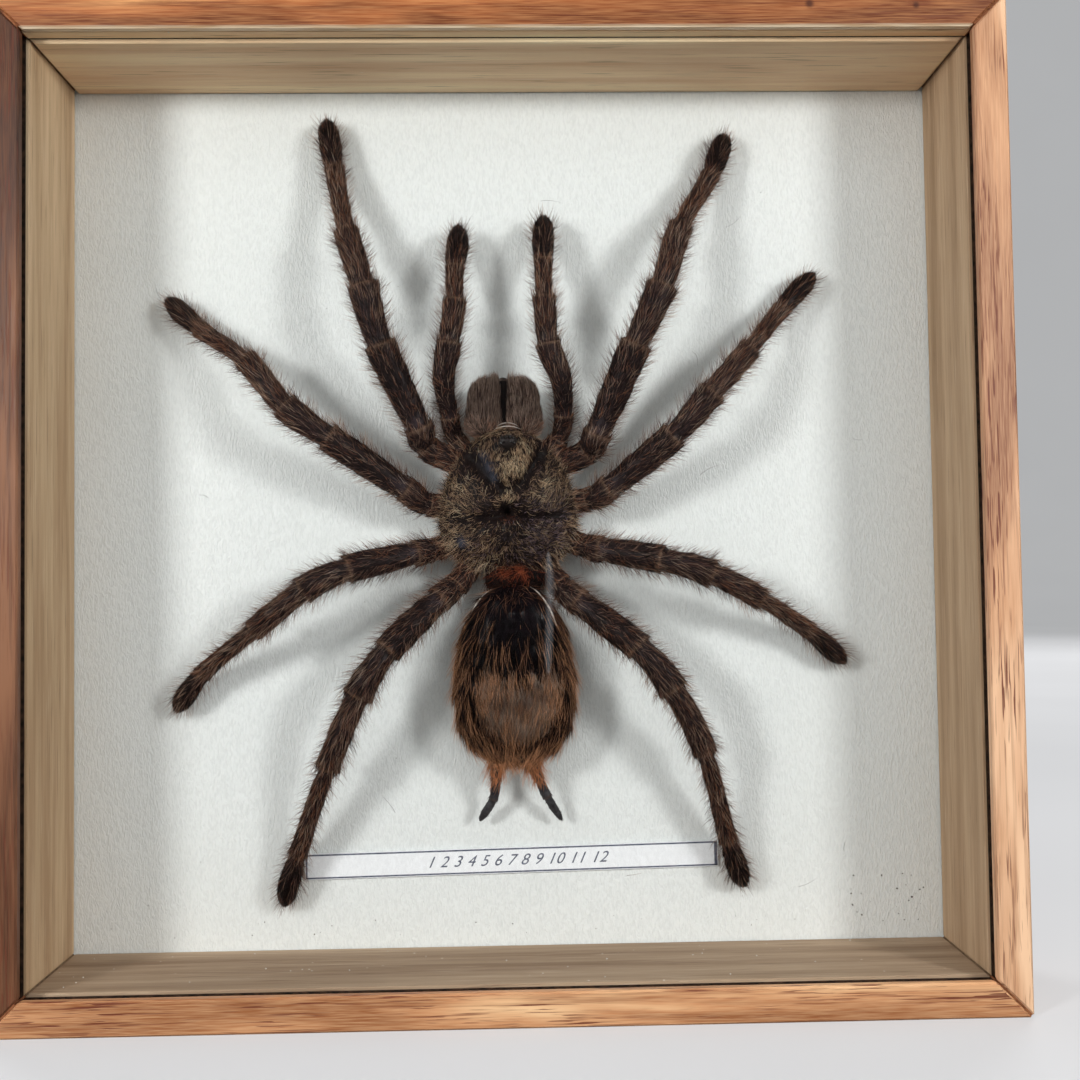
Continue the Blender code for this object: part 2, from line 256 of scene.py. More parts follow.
def hardboard():
    """Brown pressed board with fine fibres and a rough mesh mark."""
    board = Finish("hardboard", Specular_IOR_Level=0.25)
    fibres = board.noise(board.place((900, 900, 1400)), 1.0, 5.0, 0.7, 1.5)
    broad = board.noise(board.place((30, 30, 30)), 1.0, 2.0)
    tones = ((0.3, paint(92, 62, 40)), (0.5, paint(122, 86, 58)), (0.7, paint(158, 118, 82)))
    tone = board.ramp(fibres, tones)
    tone = board.mix(board.span(broad, 0.3, 0.7, 0.0, 0.4), tone, paint(104, 72, 48))
    waves = board.node("ShaderNodeTexWave", {"Vector": board.place(), "Scale": 260.0, "Distortion": 1.2})
    height = board.sum("ADD", fibres, board.sum("MULTIPLY", waves.outputs["Fac"], 0.4))
    return board.wear(tone, board.span(fibres, 0.3, 0.7, 0.7, 0.88), board.bump(height, 0.5, 0.1 * MM))


def grainy(name, scale, tones, rough, detail=2.0, roughness=0.5, distortion=0.0, relief=None, specular=0.2):
    """A finish whose colour, roughness and relief all follow one noise texture."""
    finish = Finish(name, Specular_IOR_Level=specular)
    cloud = finish.noise(finish.place(scale), 1.0, detail, roughness, distortion)
    normal = finish.bump(cloud, *relief) if relief else None
    return finish.wear(finish.ramp(cloud, tones), finish.span(cloud, 0.3, 0.7, *rough), normal)


def paper():
    """White label paper with faint fibres."""
    tones = ((0.3, paint(232, 234, 236)), (0.7, paint(246, 248, 250)))
    relief = (0.3, 0.03 * MM)
    return grainy("label_paper", (1800, 1800, 900), tones, (0.6, 0.75), 4.0, 0.6, 1.0, relief, 0.25)


def ink():
    """Soft grey printing ink that is a little uneven."""
    tones = ((0.35, paint(78, 82, 96)), (0.7, paint(124, 128, 142)))
    return grainy("grey_ink", (2600, 2600, 2600), tones, (0.6, 0.8))


def plated_steel():
    """Zinc-plated sheet steel with rolling marks and dull spots."""
    steel = Finish("plated_steel", Metallic=1.0)
    marks = steel.noise(steel.place((300, 300, 4200)), 1.0, 3.0, 0.6)
    spangle = steel.noise(steel.place((420, 420, 420)), 1.0, 3.0, 0.6)
    tone = steel.ramp(spangle, ((0.35, paint(150, 150, 148)), (0.65, paint(196, 198, 200))))
    rough = steel.span(marks, 0.3, 0.7, 0.26, 0.44)
    return steel.wear(tone, rough, steel.bump(marks, 0.3, 0.02 * MM))


def picture_glass():
    """Clear glass that only mirrors a little and lets light straight through."""
    glass = Finish("picture_glass")
    glass.tree.nodes.remove(glass.shader)
    clear = glass.node("ShaderNodeBsdfTransparent", {"Color": (0.985, 0.992, 0.988, 1.0)})
    mirror = glass.node("ShaderNodeBsdfGlossy", {"Roughness": 0.03})
    fresnel = glass.node("ShaderNodeFresnel", {"IOR": 1.12})
    parts = {0: fresnel.outputs["Fac"], 1: clear.outputs[0], 2: mirror.outputs[0]}
    blend = glass.node("ShaderNodeMixShader", parts)
    glass.feed(glass.tree.nodes["Material Output"].inputs["Surface"], blend.outputs[0])
    return glass.material


# ---------------------------------------------------------------- spider materials


def cuticle(name, dark, light, rough):
    """Dark skin whose joint rims are paler, with fine wrinkles."""
    skin = Finish(name, Specular_IOR_Level=0.22)
    folds = skin.noise(skin.place((900, 900, 900)), 1.0, 4.0, 0.6, 0.6)
    tone = skin.ramp(folds, ((0.32, dark), (0.7, light)))
    tone = skin.mix(skin.sum("MULTIPLY", skin.attribute("rim"), 0.42), tone, paint(150, 116, 92))
    tone = skin.mix(skin.attribute("bald"), tone, paint(66, 56, 60))
    return skin.wear(tone, skin.span(folds, 0.3, 0.7, rough, rough + 0.2), skin.bump(folds, 0.45, 0.08 * MM))


def abdomen_skin():
    """Near-black and glossy, and velvety grey-brown on the patch."""
    skin = Finish("abdomen_skin", Specular_IOR_Level=0.07)
    folds = skin.noise(skin.place((700, 700, 500)), 1.0, 4.0, 0.6, 0.8)
    tone = skin.ramp(folds, ((0.35, paint(6, 4, 6)), (0.7, paint(18, 11, 14))))
    velvet = skin.ramp(folds, ((0.35, paint(92, 72, 64)), (0.7, paint(134, 110, 98))))
    patch = skin.attribute("bald")
    tone = skin.mix(patch, tone, velvet)
    rough = skin.span(patch, 0.0, 1.0, 0.34, 0.85)
    return skin.wear(tone, rough, skin.bump(folds, 0.5, 0.1 * MM))


def carapace_skin():
    """Brown-black shell with slate blue where it is bald."""
    skin = Finish("carapace_skin", Specular_IOR_Level=0.12)
    folds = skin.noise(skin.place((600, 600, 600)), 1.0, 4.0, 0.6, 0.6)
    tone = skin.ramp(folds, ((0.32, paint(10, 6, 6)), (0.7, paint(32, 22, 20))))
    slate = skin.ramp(folds, ((0.3, paint(40, 41, 49)), (0.7, paint(76, 78, 88))))
    tone = skin.mix(skin.attribute("bald"), tone, slate)
    return skin.wear(tone, skin.span(folds, 0.3, 0.7, 0.4, 0.62), skin.bump(folds, 0.5, 0.1 * MM))


def fur(name, tones):
    """Hair coloured by its own map: u is the tone, v runs from the shaded root to the tip."""
    hair = Finish(name, Roughness=0.5, Specular_IOR_Level=0.12)
    own = hair.node("ShaderNodeUVMap", {}, uv_map="OFBake")
    parts = hair.node("ShaderNodeSeparateXYZ", {"Vector": own.outputs["UV"]})
    tone = hair.ramp(parts.outputs["X"], tones)
    shade = hair.ramp(parts.outputs["Y"], ((0.0, (0.45, 0.45, 0.45, 1)), (0.7, (1, 1, 1, 1))))
    return hair.wear(hair.mix(1.0, tone, shade, "MULTIPLY"))


def gloss_black():
    """Wet-looking black for the eyes and claws."""
    tones = ((0.3, paint(10, 8, 9)), (0.7, paint(30, 24, 22)))
    return grainy("gloss_black", (2500, 2500, 2500), tones, (0.12, 0.25), specular=0.6)


def dry_skin():
    """Pale, thin folded skin."""
    tones = ((0.3, paint(124, 108, 98)), (0.7, paint(206, 196, 186)))
    relief = (0.4, 0.05 * MM)
    return grainy("dry_skin", (1500, 1500, 1500), tones, (0.45, 0.6), 3.0, relief=relief, specular=0.4)


def speck_material(name, dark, light):
    """A dull two-tone finish for dust, dirt and glue, and for the painted shadow behind the lip."""
    return grainy(name, (900, 900, 900), ((0.35, dark), (0.65, light)), (0.7, 0.9))


# ---------------------------------------------------------------- mesh helpers


def show(name, mesh, material, slot, *replaced):
    """Add a piece of the specimen that rides on its body and stands for some CAD nodes."""
    piece = bpy.data.objects.new(name, mesh)
    bpy.context.scene.collection.objects.link(piece)
    mesh.materials.append(material)
    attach(piece, "root")
    if replaced:
        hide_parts(*replaced)
    return piece


def finished(name, bm, material, slot, smooth=True):
    """Close a bmesh and show it as one piece."""
    mesh = bpy.data.meshes.new(name)
    bm.to_mesh(mesh)
    bm.free()
    if smooth:
        mesh.shade_smooth()
    return show(name, mesh, material, slot)


def outward(bm):
    bmesh.ops.recalc_face_normals(bm, faces=bm.faces)
    return bm


def on_board(x, z, height):
    """A point given in millimetres from the middle of the opening and above the board."""
    return (x * MM, BOARD_Y - height * MM, MIDDLE_Z + z * MM)


def board_places(points):
    """The x and z of points, in millimetres from the middle of the opening."""
    return points[..., 0] / MM, (points[..., 2] - MIDDLE_Z) / MM


def unit(vectors):
    return vectors / np.maximum(np.linalg.norm(vectors, axis=-1, keepdims=True), 1e-12)


def drift(points, rng, wave_mm, count=5):
    """A smooth random field from -1 to 1 over space, whose features are about wave_mm apart."""
    waves = unit(rng.normal(size=(count, 3))) * (2 * math.pi / (wave_mm * MM))
    waves *= rng.uniform(0.6, 1.4, (count, 1))
    phases = rng.uniform(0, 2 * math.pi, count)
    return np.sin(points @ waves.T + phases).sum(-1) / math.sqrt(count) * 0.8


class Surface:
    """A closed skin made of rings of points, on which hairs can be sown."""

    def __init__(self, rings, combs, marks):
        self.points = rings
        self.combs = unit(combs)
        self.marks = marks
        along = np.gradient(rings, axis=0)
        around = np.roll(rings, -1, axis=1) - np.roll(rings, 1, axis=1)
        self.normals = unit(np.cross(around, along))
        middles = rings.mean(axis=1, keepdims=True)
        inward = ((rings - middles) * self.normals).sum(-1, keepdims=True) < 0
        self.normals = np.where(inward, -self.normals, self.normals)

    def mesh(self, name):
        count, around, _ = self.points.shape
        ends = self.points[[0, -1]].mean(axis=1)
        places = np.concatenate([self.points.reshape(-1, 3), ends])
        index = np.arange(count * around).reshape(count, around)
        nearby = np.roll(index, -1, axis=1)
        faces = np.stack([index[:-1], nearby[:-1], nearby[1:], index[1:]], -1).reshape(-1, 4).tolist()
        for ring, pole in ((0, count * around), (-1, count * around + 1)):
            faces += [(a, b, pole) for a, b in zip(index[ring].tolist(), nearby[ring].tolist())]
        mesh = bpy.data.meshes.new(name)
        mesh.from_pydata(places.tolist(), [], faces)
        for mark, values in self.marks.items():
            layer = mesh.attributes.new(mark, "FLOAT", "POINT")
            layer.data.foreach_set("value", np.append(values.ravel(), (0.0, 0.0)).astype(np.float32))
        bm = bmesh.new()
        bm.from_mesh(mesh)
        bmesh.ops.recalc_face_normals(bm, faces=bm.faces)
        bm.to_mesh(mesh)
        bm.free()
        mesh.shade_smooth()
        return mesh

    def sow(self, count, rng, weight):
        """Roots, normals, comb directions and marks at random places, more of them where weight is high."""
        points = self.points
        steps = np.roll(points, -1, axis=1) - points
        areas = np.linalg.norm(np.cross(points[1:] - points[:-1], steps[:-1]), axis=-1)
        chance = (areas * weight(self)[:-1]).ravel()
        picked = rng.choice(chance.size, count, p=chance / chance.sum())
        row, column = np.divmod(picked, points.shape[1])
        beside = (column + 1) % points.shape[1]
        u, v = rng.random((2, count, 1))

        def blend(grid):
            low = grid[row, column] * (1 - u) + grid[row, beside] * u
            high = grid[row + 1, column] * (1 - u) + grid[row + 1, beside] * u
            return low * (1 - v) + high * v

        normals = unit(blend(self.normals))
        combs = blend(self.combs)
        combs = unit(combs - (combs * normals).sum(-1, keepdims=True) * normals)
        return blend(points), normals, combs


def hair(count, where, length, lift, width, tone, **more):
    """One kind of hair: how many, where, length and width in millimetres, lift in degrees, tones."""
    kind = {"count": count, "where": where, "length": length, "lift": lift, "width": width, "tone": tone}
    return {**kind, **more}


def hair_arrays(roots, normals, combs, kind, rng):
    """Points, tones and row count of tapered three-sided hairs of one kind."""
    count, rows = len(roots), kind.get("rows", 2)
    length = rng.uniform(*kind["length"], (count, 1)) * MM
    lift = np.radians(rng.uniform(*kind["lift"], (count, 1)))
    sway = kind.get("sway", 0.25)
    aside = np.cross(normals, combs)
    veer = sway * (drift(roots, rng, kind.get("wave", 3.0))[:, None] + 0.5 * rng.normal(size=(count, 1)))
    curl = rng.normal(0.0, kind.get("curl", 0.25), (count, 1))
    place = roots - normals * 0.04 * MM
    places = [place]
    for row in range(rows):
        share = row / rows
        angle = lift * (1 - kind.get("droop", 0.3) * share)
        heading = combs * np.cos(angle) + normals * np.sin(angle) + aside * (veer + curl * share)
        place = place + unit(heading) * length / rows
        places.append(place)
    flat = unit(np.cross(heading, normals))
    upright = unit(np.cross(flat, heading))
    width = kind["width"] * rng.uniform(0.75, 1.25, (count, 1)) * MM / 2
    rings = []
    for row in range(rows):
        radius = width * (1 - 0.75 * (row / rows) ** 1.5)
        for corner in range(3):
            turn = 2 * math.pi * corner / 3
            rings.append(places[row] + radius * (flat * math.cos(turn) + upright * math.sin(turn)))
    points = np.stack([*rings, places[-1]], axis=1)
    low, high = kind["tone"]
    patchy = 0.5 + 0.5 * drift(roots, rng, 5.0)
    tones = low + (high - low) * np.clip(0.6 * rng.random(count) + 0.4 * patchy, 0, 1)
    return points, np.clip(tones, 0.03, 0.97), rows


def hair_faces(points, tones, rows, start):
    """Corner lists of one kind's hairs: three sides between rings, and three at the tip."""
    count, per_hair = points.shape[:2]
    base = start + np.arange(count)[:, None] * per_hair
    side = 0.012  # how far apart in the map the three sides of a hair lie
    quads, triangles, quad_map, triangle_map = [], [], [], []
    for row in range(rows):
        low, high = row / rows * 0.94 + 0.03, (row + 1) / rows * 0.94 + 0.03
        for corner in range(3):
            a, b = row * 3 + corner, row * 3 + (corner + 1) % 3
            left, right = tones + (corner - 1.5) * side, tones + (corner - 0.5) * side
            level_low, level_high = np.full(count, low), np.full(count, high)
            if row < rows - 1:
                quads.append(base + np.array([a, b, b + 3, a + 3]))
                corners = [left, level_low, right, level_low, right, level_high, left, level_high]
                quad_map.append(np.stack(corners, -1))
            else:
                triangles.append(base + np.array([a, b, rows * 3]))
                tip = (left + right) / 2
                triangle_map.append(np.stack([left, level_low, right, level_low, tip, level_high], -1))
    return quads, quad_map, triangles, triangle_map


def fur_mesh(name, kinds):
    """One mesh of all the hairs in kinds, a list of (roots, normals, combs, kind, rng)."""
    all_points, quads, quad_map, triangles, triangle_map, start = [], [], [], [], [], 0
    for roots, normals, combs, kind, rng in kinds:
        points, tones, rows = hair_arrays(roots, normals, combs, kind, rng)
        made = hair_faces(points, tones, rows, start)
        for store, new in zip((quads, quad_map, triangles, triangle_map), made):
            store += new
        all_points.append(points.reshape(-1, 3))
        start += points.shape[0] * points.shape[1]
    corners = [np.concatenate(quads).ravel(), np.concatenate(triangles).ravel()]
    sizes = [np.full(len(corners[0]) // 4, 4), np.full(len(corners[1]) // 3, 3)]
    loops, totals = np.concatenate(corners), np.concatenate(sizes)
    uv = np.concatenate([np.concatenate(quad_map).ravel(), np.concatenate(triangle_map).ravel()])
    places = np.concatenate(all_points)
    mesh = bpy.data.meshes.new(name)
    mesh.vertices.add(len(places))
    mesh.vertices.foreach_set("co", places.astype(np.float32).ravel())
    mesh.loops.add(len(loops))
    mesh.loops.foreach_set("vertex_index", loops.astype(np.int32))
    mesh.polygons.add(len(totals))
    starts = np.concatenate([[0], np.cumsum(totals)[:-1]])
    mesh.polygons.foreach_set("loop_start", starts.astype(np.int32))
    mesh.update(calc_edges=True)
    layer = mesh.uv_layers.new(name="OFBake")
    layer.data.foreach_set("uv", uv.astype(np.float32))
    mesh.validate()
    return mesh


def coat(name, surface, kinds, material, slot, seed):
    """Sow several kinds of hair on a surface and show them as one piece."""
    sown = []
    for number, kind in enumerate(kinds):
        rng = np.random.default_rng(SEED + seed * 100 + number)
        roots, normals, combs = surface.sow(kind["count"], rng, kind["where"])
        if "steer" in kind:
            combs = kind["steer"](roots, normals, combs, rng)
        sown.append((roots, normals, combs, kind, rng))
    return show(name, fur_mesh(name, sown), material, slot)


# ---------------------------------------------------------------- limbs

# Joints of each limb, in millimetres from the middle of the opening, as the CAD model has them
LEG_HEIGHTS = (3.6, 4.8, 7.0, 11.0, 12.0, 9.0, 4.3, 2.4)
LEGS = {
    "leg_left_1": ((-5.6, 6.6), (-13.6, 11.0), (-14.8, 14.2), (-20.7, 27.4),
                   (-23.3, 36.8), (-26.4, 46.9), (-29.1, 59.3), (-30.6, 68.4)),
    "leg_left_2": ((-6.6, 1.6), (-13.2, 1.0), (-17.2, 3.6), (-29.4, 12.0),
                   (-36.1, 16.9), (-43.3, 25.2), (-52.1, 31.6), (-58.2, 37.2)),
    "leg_left_3": ((-6.4, -3.3), (-12.0, -6.6), (-15.6, -7.3), (-26.4, -9.9),
                   (-33.3, -13.2), (-42.0, -19.6), (-51.9, -27.2), (-56.8, -33.4)),
    "leg_left_4": ((-4.9, -7.7), (-8.8, -12.8), (-11.6, -15.2), (-19.9, -23.4),
                   (-24.6, -30.5), (-30.1, -42.6), (-36.0, -57.9), (-38.7, -66.6)),
    "leg_right_1": ((5.8, 6.4), (13.8, 9.8), (15.6, 12.8), (21.9, 27.1),
                    (26.2, 36.4), (30.0, 47.4), (36.0, 57.7), (39.0, 65.5)),
    "leg_right_2": ((6.8, 1.5), (13.8, 1.6), (17.6, 3.5), (27.9, 11.7),
                    (34.1, 18.5), (41.2, 26.3), (47.9, 34.2), (54.1, 40.8)),
    "leg_right_3": ((6.6, -3.2), (12.4, -6.1), (16.0, -7.0), (25.7, -8.9),
                    (33.7, -11.3), (42.3, -15.6), (51.6, -21.3), (58.1, -26.8)),
    "leg_right_4": ((5.1, -7.7), (8.8, -12.9), (12.2, -15.9), (21.6, -23.4),
                    (27.0, -30.2), (32.5, -41.0), (37.1, -56.9), (39.9, -64.8)),
}
PALP_HEIGHTS = (4.6, 4.0, 6.0, 9.0, 10.0, 9.0, 7.0, 4.0)
PALPS = {
    "pedipalp_left": ((-5.2, 8.4), (-8.6, 12.0), (-9.5, 16.0), (-10.3, 21.8),
                      (-9.3, 27.7), (-8.4, 35.0), (-8.3, 41.2), (-7.7, 49.2)),
    "pedipalp_right": ((5.4, 8.4), (8.9, 12.0), (9.9, 16.2), (9.4, 21.7),
                       (7.3, 27.4), (6.8, 35.4), (6.7, 42.3), (6.9, 50.8)),
}
SPINNERET_HEIGHTS = (5.6, 5.0, 4.6, 3.8, 2.2)
SPINNERETS = {
    "spinneret_left": ((-1.6, -39.6), (-2.2, -43.2), (-2.4, -46.0), (-2.9, -49.2), (-5.3, -53.2)),
    "spinneret_right": ((3.2, -39.6), (4.0, -43.2), (5.0, -46.0), (6.3, -49.0), (8.8, -53.3)),
}

# Widths of each segment at its start, middle and end, in millimetres
LEG_SEGMENTS = (
    (3.0, 3.7, 4.1),  # coxa
    (3.5, 4.2, 4.4),  # trochanter
    (3.6, 4.5, 4.7),  # femur
    (3.6, 4.2, 4.7),  # patella
    (3.4, 3.7, 3.8),  # tibia
    (2.6, 2.7, 3.0),  # metatarsus
    (2.3, 3.3, 2.0),  # tarsus
)
PALP_SEGMENTS = (
    (3.0, 3.6, 3.6),  # coxa, under the head
    (2.9, 3.0, 3.2),  # trochanter
    (2.8, 3.2, 3.6),  # femur, lower half
    (3.6, 3.9, 4.1),  # femur, upper half
    (3.3, 3.6, 3.8),  # patella
    (2.7, 2.8, 3.1),  # tibia
    (2.6, 3.6, 2.0),  # tarsus
)
SPINNERET_SEGMENTS = ((2.2, 2.4, 2.2), (2.1, 2.0, 1.7), (1.5, 1.6, 1.5), (1.3, 1.35, 0.7))
FACETS = 20
RING_SPACING = 0.45  # millimetres
LEG_THICKNESS = {"1": 1.08, "2": 1.0, "3": 0.98, "4": 1.03}


def curve_point(joints, i, t):
    """A point of the Catmull-Rom curve between joint i and the next one."""
    last = len(joints) - 1
    before, start = joints[max(i - 1, 0)], joints[i]
    end, after = joints[i + 1], joints[min(i + 2, last)]
    cubic = 3 * start - before - 3 * end + after
    square = 2 * before - 5 * start + 4 * end - after
    return 0.5 * (2 * start + (end - before) * t + square * t * t + cubic * t ** 3)


def limb_surface(places, heights, segments, thickness, split_joints, rng):
    """The skin of a jointed limb, whose segments end in a flared rim except at split_joints."""
    joints = np.array([(x, z, h) for (x, z), h in zip(places, heights)], float)
    centres, widths, rims, kinds, shares = [], [], [], [], []
    last = len(segments) - 1
    for i, (start, middle, end) in enumerate(segments):
        steps = max(6, round(np.linalg.norm(joints[i + 1] - joints[i]) / RING_SPACING))
        for t in np.linspace(0.0 if i == 0 else 0.035, 1.0, steps):
            width = start * (1 - t) * (1 - 2 * t) + middle * 4 * t * (1 - t) + end * t * (2 * t - 1)
            if i == last and t > 0.55:
                width = max(width, end) * math.sqrt(max(1 - ((t - 0.55) / 0.47) ** 2.6, 0.02))
            smooth_bend = i + 1 in split_joints or i == last
            rim = 0.0 if smooth_bend else max(0.0, (t - 0.93) / 0.07)
            centres.append(curve_point(joints, i, t))
            widths.append(width * thickness + 0.28 * rim)
            rims.append(rim)
            kinds.append(i)
            shares.append(t)
    centres = np.array([on_board(*c) for c in centres])
    along = unit(np.gradient(centres, axis=0))
    up = unit(np.array((0.0, -1.0, 0.0)) - along * -along[:, 1:2])
    side = np.cross(along, up)
    angles = 2 * np.pi * np.arange(FACETS) / FACETS
    half = (np.array(widths) * MM / 2)[:, None, None]
    ring = side[:, None] * np.sin(angles)[None, :, None] + 0.92 * up[:, None] * np.cos(angles)[None, :, None]
    dents = 1 + 0.035 * drift(centres[:, None] + half * ring, rng, 4.0)[..., None]
    rings = centres[:, None] + half * ring * dents
    combs = np.repeat(along[:, None], FACETS, axis=1)
    flat = np.ones(FACETS)
    marks = {
        "rim": np.outer(rims, flat),
        "kind": np.outer(kinds, flat),
        "share": np.outer(shares, flat),
        "turn": np.outer(np.ones(len(rims)), angles),
    }
    marks["bald"] = bald_stripes(marks)
    return Surface(rings, combs, marks)


def bald_stripes(marks):
    """The two bare lines on a patella and tibia, and a bare place on top of the femur's base."""
    turn = (marks["turn"] + np.pi) % (2 * np.pi) - np.pi
    lines = np.exp(-(((np.abs(turn) - 0.42) / 0.13) ** 2))
    kind, share = marks["kind"], marks["share"]
    upper = ((kind == 3) | (kind == 4)) & (share > 0.12) & (share < 0.8)
    base = (kind == 2) * np.exp(-((share / 0.2) ** 2)) * np.exp(-((turn / 0.7) ** 2))
    return np.clip(0.55 * lines * upper + 0.8 * base, 0, 1)


def facing(surface, more, least, most=1.0):
    """How far the skin faces the glass, raised by more and kept between two limits."""
    return np.clip(-surface.normals[..., 1] + more, least, most)


def top_side(surface):
    """Mostly the side towards the glass, with fewer hairs on bald places."""
    return facing(surface, 0.45, 0.12) * (1 - 0.85 * surface.marks["bald"]) * (1 - 0.8 * surface.marks["rim"])


def streaky(surface):
    """The back of a limb, thinly on the femur and before it, and hardly on the tip."""
    shares = (0.6, 0.7, 0.24, 0.75, 1.0, 1.0, 0.2)
    return top_side(surface) * np.interp(surface.marks["kind"], range(7), shares)


def outer_part(surface):
    """The back of the tibia and the metatarsus."""
    return top_side(surface) * np.interp(surface.marks["kind"], (0, 3, 4, 5, 6), (0.05, 0.12, 0.6, 1.0, 0.2))


def flanks(surface):
    """Mostly the two sides that show as the outline."""
    level = np.abs(surface.normals[..., 1] + 0.15)
    return np.clip(1.15 - 1.1 * level, 0.1, 1.0) * (surface.marks["kind"] > 0)


def rims_only(surface):
    """Close to the ends of the segments."""
    near = np.exp(-(((surface.marks["share"] - 0.95) / 0.04) ** 2))
    return near * facing(surface, 0.4, 0.05) * (surface.marks["kind"] > 1)


def bases_only(surface):
    """The coxa and trochanter, and a little of the femur."""
    return (surface.marks["kind"] < 3) * np.exp(-(surface.marks["kind"] * 0.8)) * top_side(surface)


def tip_pad(surface):
    """The whole last segment."""
    last = surface.marks["kind"].max()
    return (surface.marks["kind"] == last) * facing(surface, 0.6, 0.2)


LEG_TONES = (
    (0.00, paint(9, 5, 5)), (0.22, paint(34, 20, 19)), (0.42, paint(82, 56, 51)),
    (0.58, paint(142, 108, 92)), (0.72, paint(196, 162, 136)), (0.84, paint(240, 216, 194)),
    (0.92, paint(140, 86, 62)), (1.00, paint(204, 140, 102)),
)
LEG_HAIR = (
    hair(5400, top_side, (0.8, 1.5), (5, 14), 0.12, (0.02, 0.32), sway=0.16, rows=1),
    hair(1500, streaky, (1.4, 2.6), (3, 9), 0.065, (0.32, 0.62), sway=0.18),
    hair(430, outer_part, (1.4, 2.8), (3, 12), 0.06, (0.90, 1.00), sway=0.22),
    hair(460, streaky, (1.8, 3.4), (4, 14), 0.052, (0.60, 0.84), sway=0.28, rows=3, wave=2.4),
    hair(1900, flanks, (1.5, 3.4), (36, 72), 0.055, (0.38, 0.72), sway=0.2, droop=0.4),
    hair(520, flanks, (1.4, 2.8), (25, 55), 0.06, (0.05, 0.40), sway=0.2, droop=0.5),
    hair(170, rims_only, (0.6, 1.1), (4, 16), 0.07, (0.50, 0.80), sway=0.3, rows=1),
    hair(200, bases_only, (1.2, 2.4), (10, 40), 0.06, (0.90, 1.00), sway=0.9, rows=3, curl=0.9),
    hair(1300, tip_pad, (0.5, 0.9), (15, 40), 0.10, (0.0, 0.16), sway=0.4, rows=1),
)


def scaled(kinds, share):
    """The same kinds of hair with another number of each."""
    return [dict(kind, count=max(20, round(kind["count"] * share))) for kind in kinds]


# ---------------------------------------------------------------- body of the spider


def bulge(t, power=2.3):
    """The outline of a rounded form: 1 in the middle and 0 at both ends."""
    return np.maximum(1 - np.abs(t) ** power, 0.0) ** (1 / power)


def around_line(x, z, start, end, width):
    """How near points are to a line between two places, from 0 to 1."""
    (ax, az), (bx, bz) = start, end
    dx, dz = bx - ax, bz - az
    t = np.clip(((x - ax) * dx + (z - az) * dz) / (dx * dx + dz * dz), 0, 1)
    away = np.hypot(x - ax - t * dx, z - az - t * dz)
    return np.exp(-((away / width) ** 2))


def spot(x, z, middle, size):
    """1 in the middle of a soft oval spot, and 0 far from it."""
    return np.exp(-(((x - middle[0]) / size[0]) ** 2) - ((z - middle[1]) / size[1]) ** 2)


CARAPACE_MIDDLE = (0.2, 1.3)
CARAPACE_HALF = (11.2, 12.0)
CARAPACE_RIM = 6.2
FOVEA = (0.1, -0.6)
FURROWS = (((-7.3, 10.2), (-1.1, 3.2)), ((7.1, 11.0), (2.1, 3.4)))
RAYS = (-0.55, -0.1, math.pi + 0.1, math.pi + 0.55, -1.2, math.pi + 1.2)
EYES_AT = (0.3, 10.9)
BALD_STREAK = ((-3.9, 8.9), (-1.9, 5.2))


def furrow_depth(x, z):
    """1 along the two furrows that part the head from the rest."""
    return sum(around_line(x, z, start, end, 1.1) for start, end in FURROWS)


def cross_furrow(x, z, width):
    """1 along the furrow that crosses the carapace behind the pit."""
    return around_line(x, z, (-9.0, -1.5), (9.4, -1.5), width)


def egg_surface(sides, count, margin, ring, roughness, comb, rng, bald=None):
    """A closed skin that runs up the board. ring gives the x, z and height of one ring's points."""
    turns = 2 * np.pi * np.arange(sides) / sides
    ends = np.sin(np.linspace(margin - math.pi / 2, math.pi / 2 - margin, count))
    rings = np.array([[on_board(*point) for point in zip(*ring(t, turns))] for t in ends])
    size, wave = roughness
    rings += size * MM * drift(rings, rng, wave)[..., None] * unit(rings - rings.mean(axis=1, keepdims=True))
    combs = np.zeros_like(rings)
    combs[..., 2] = comb
    x, z = board_places(rings)
    flat = np.zeros_like(x)
    marks = {"rim": flat, "bald": bald(x, z, rings[..., 1]) if bald else flat.copy(), "x": x, "z": z}
    return Surface(rings, combs, marks)


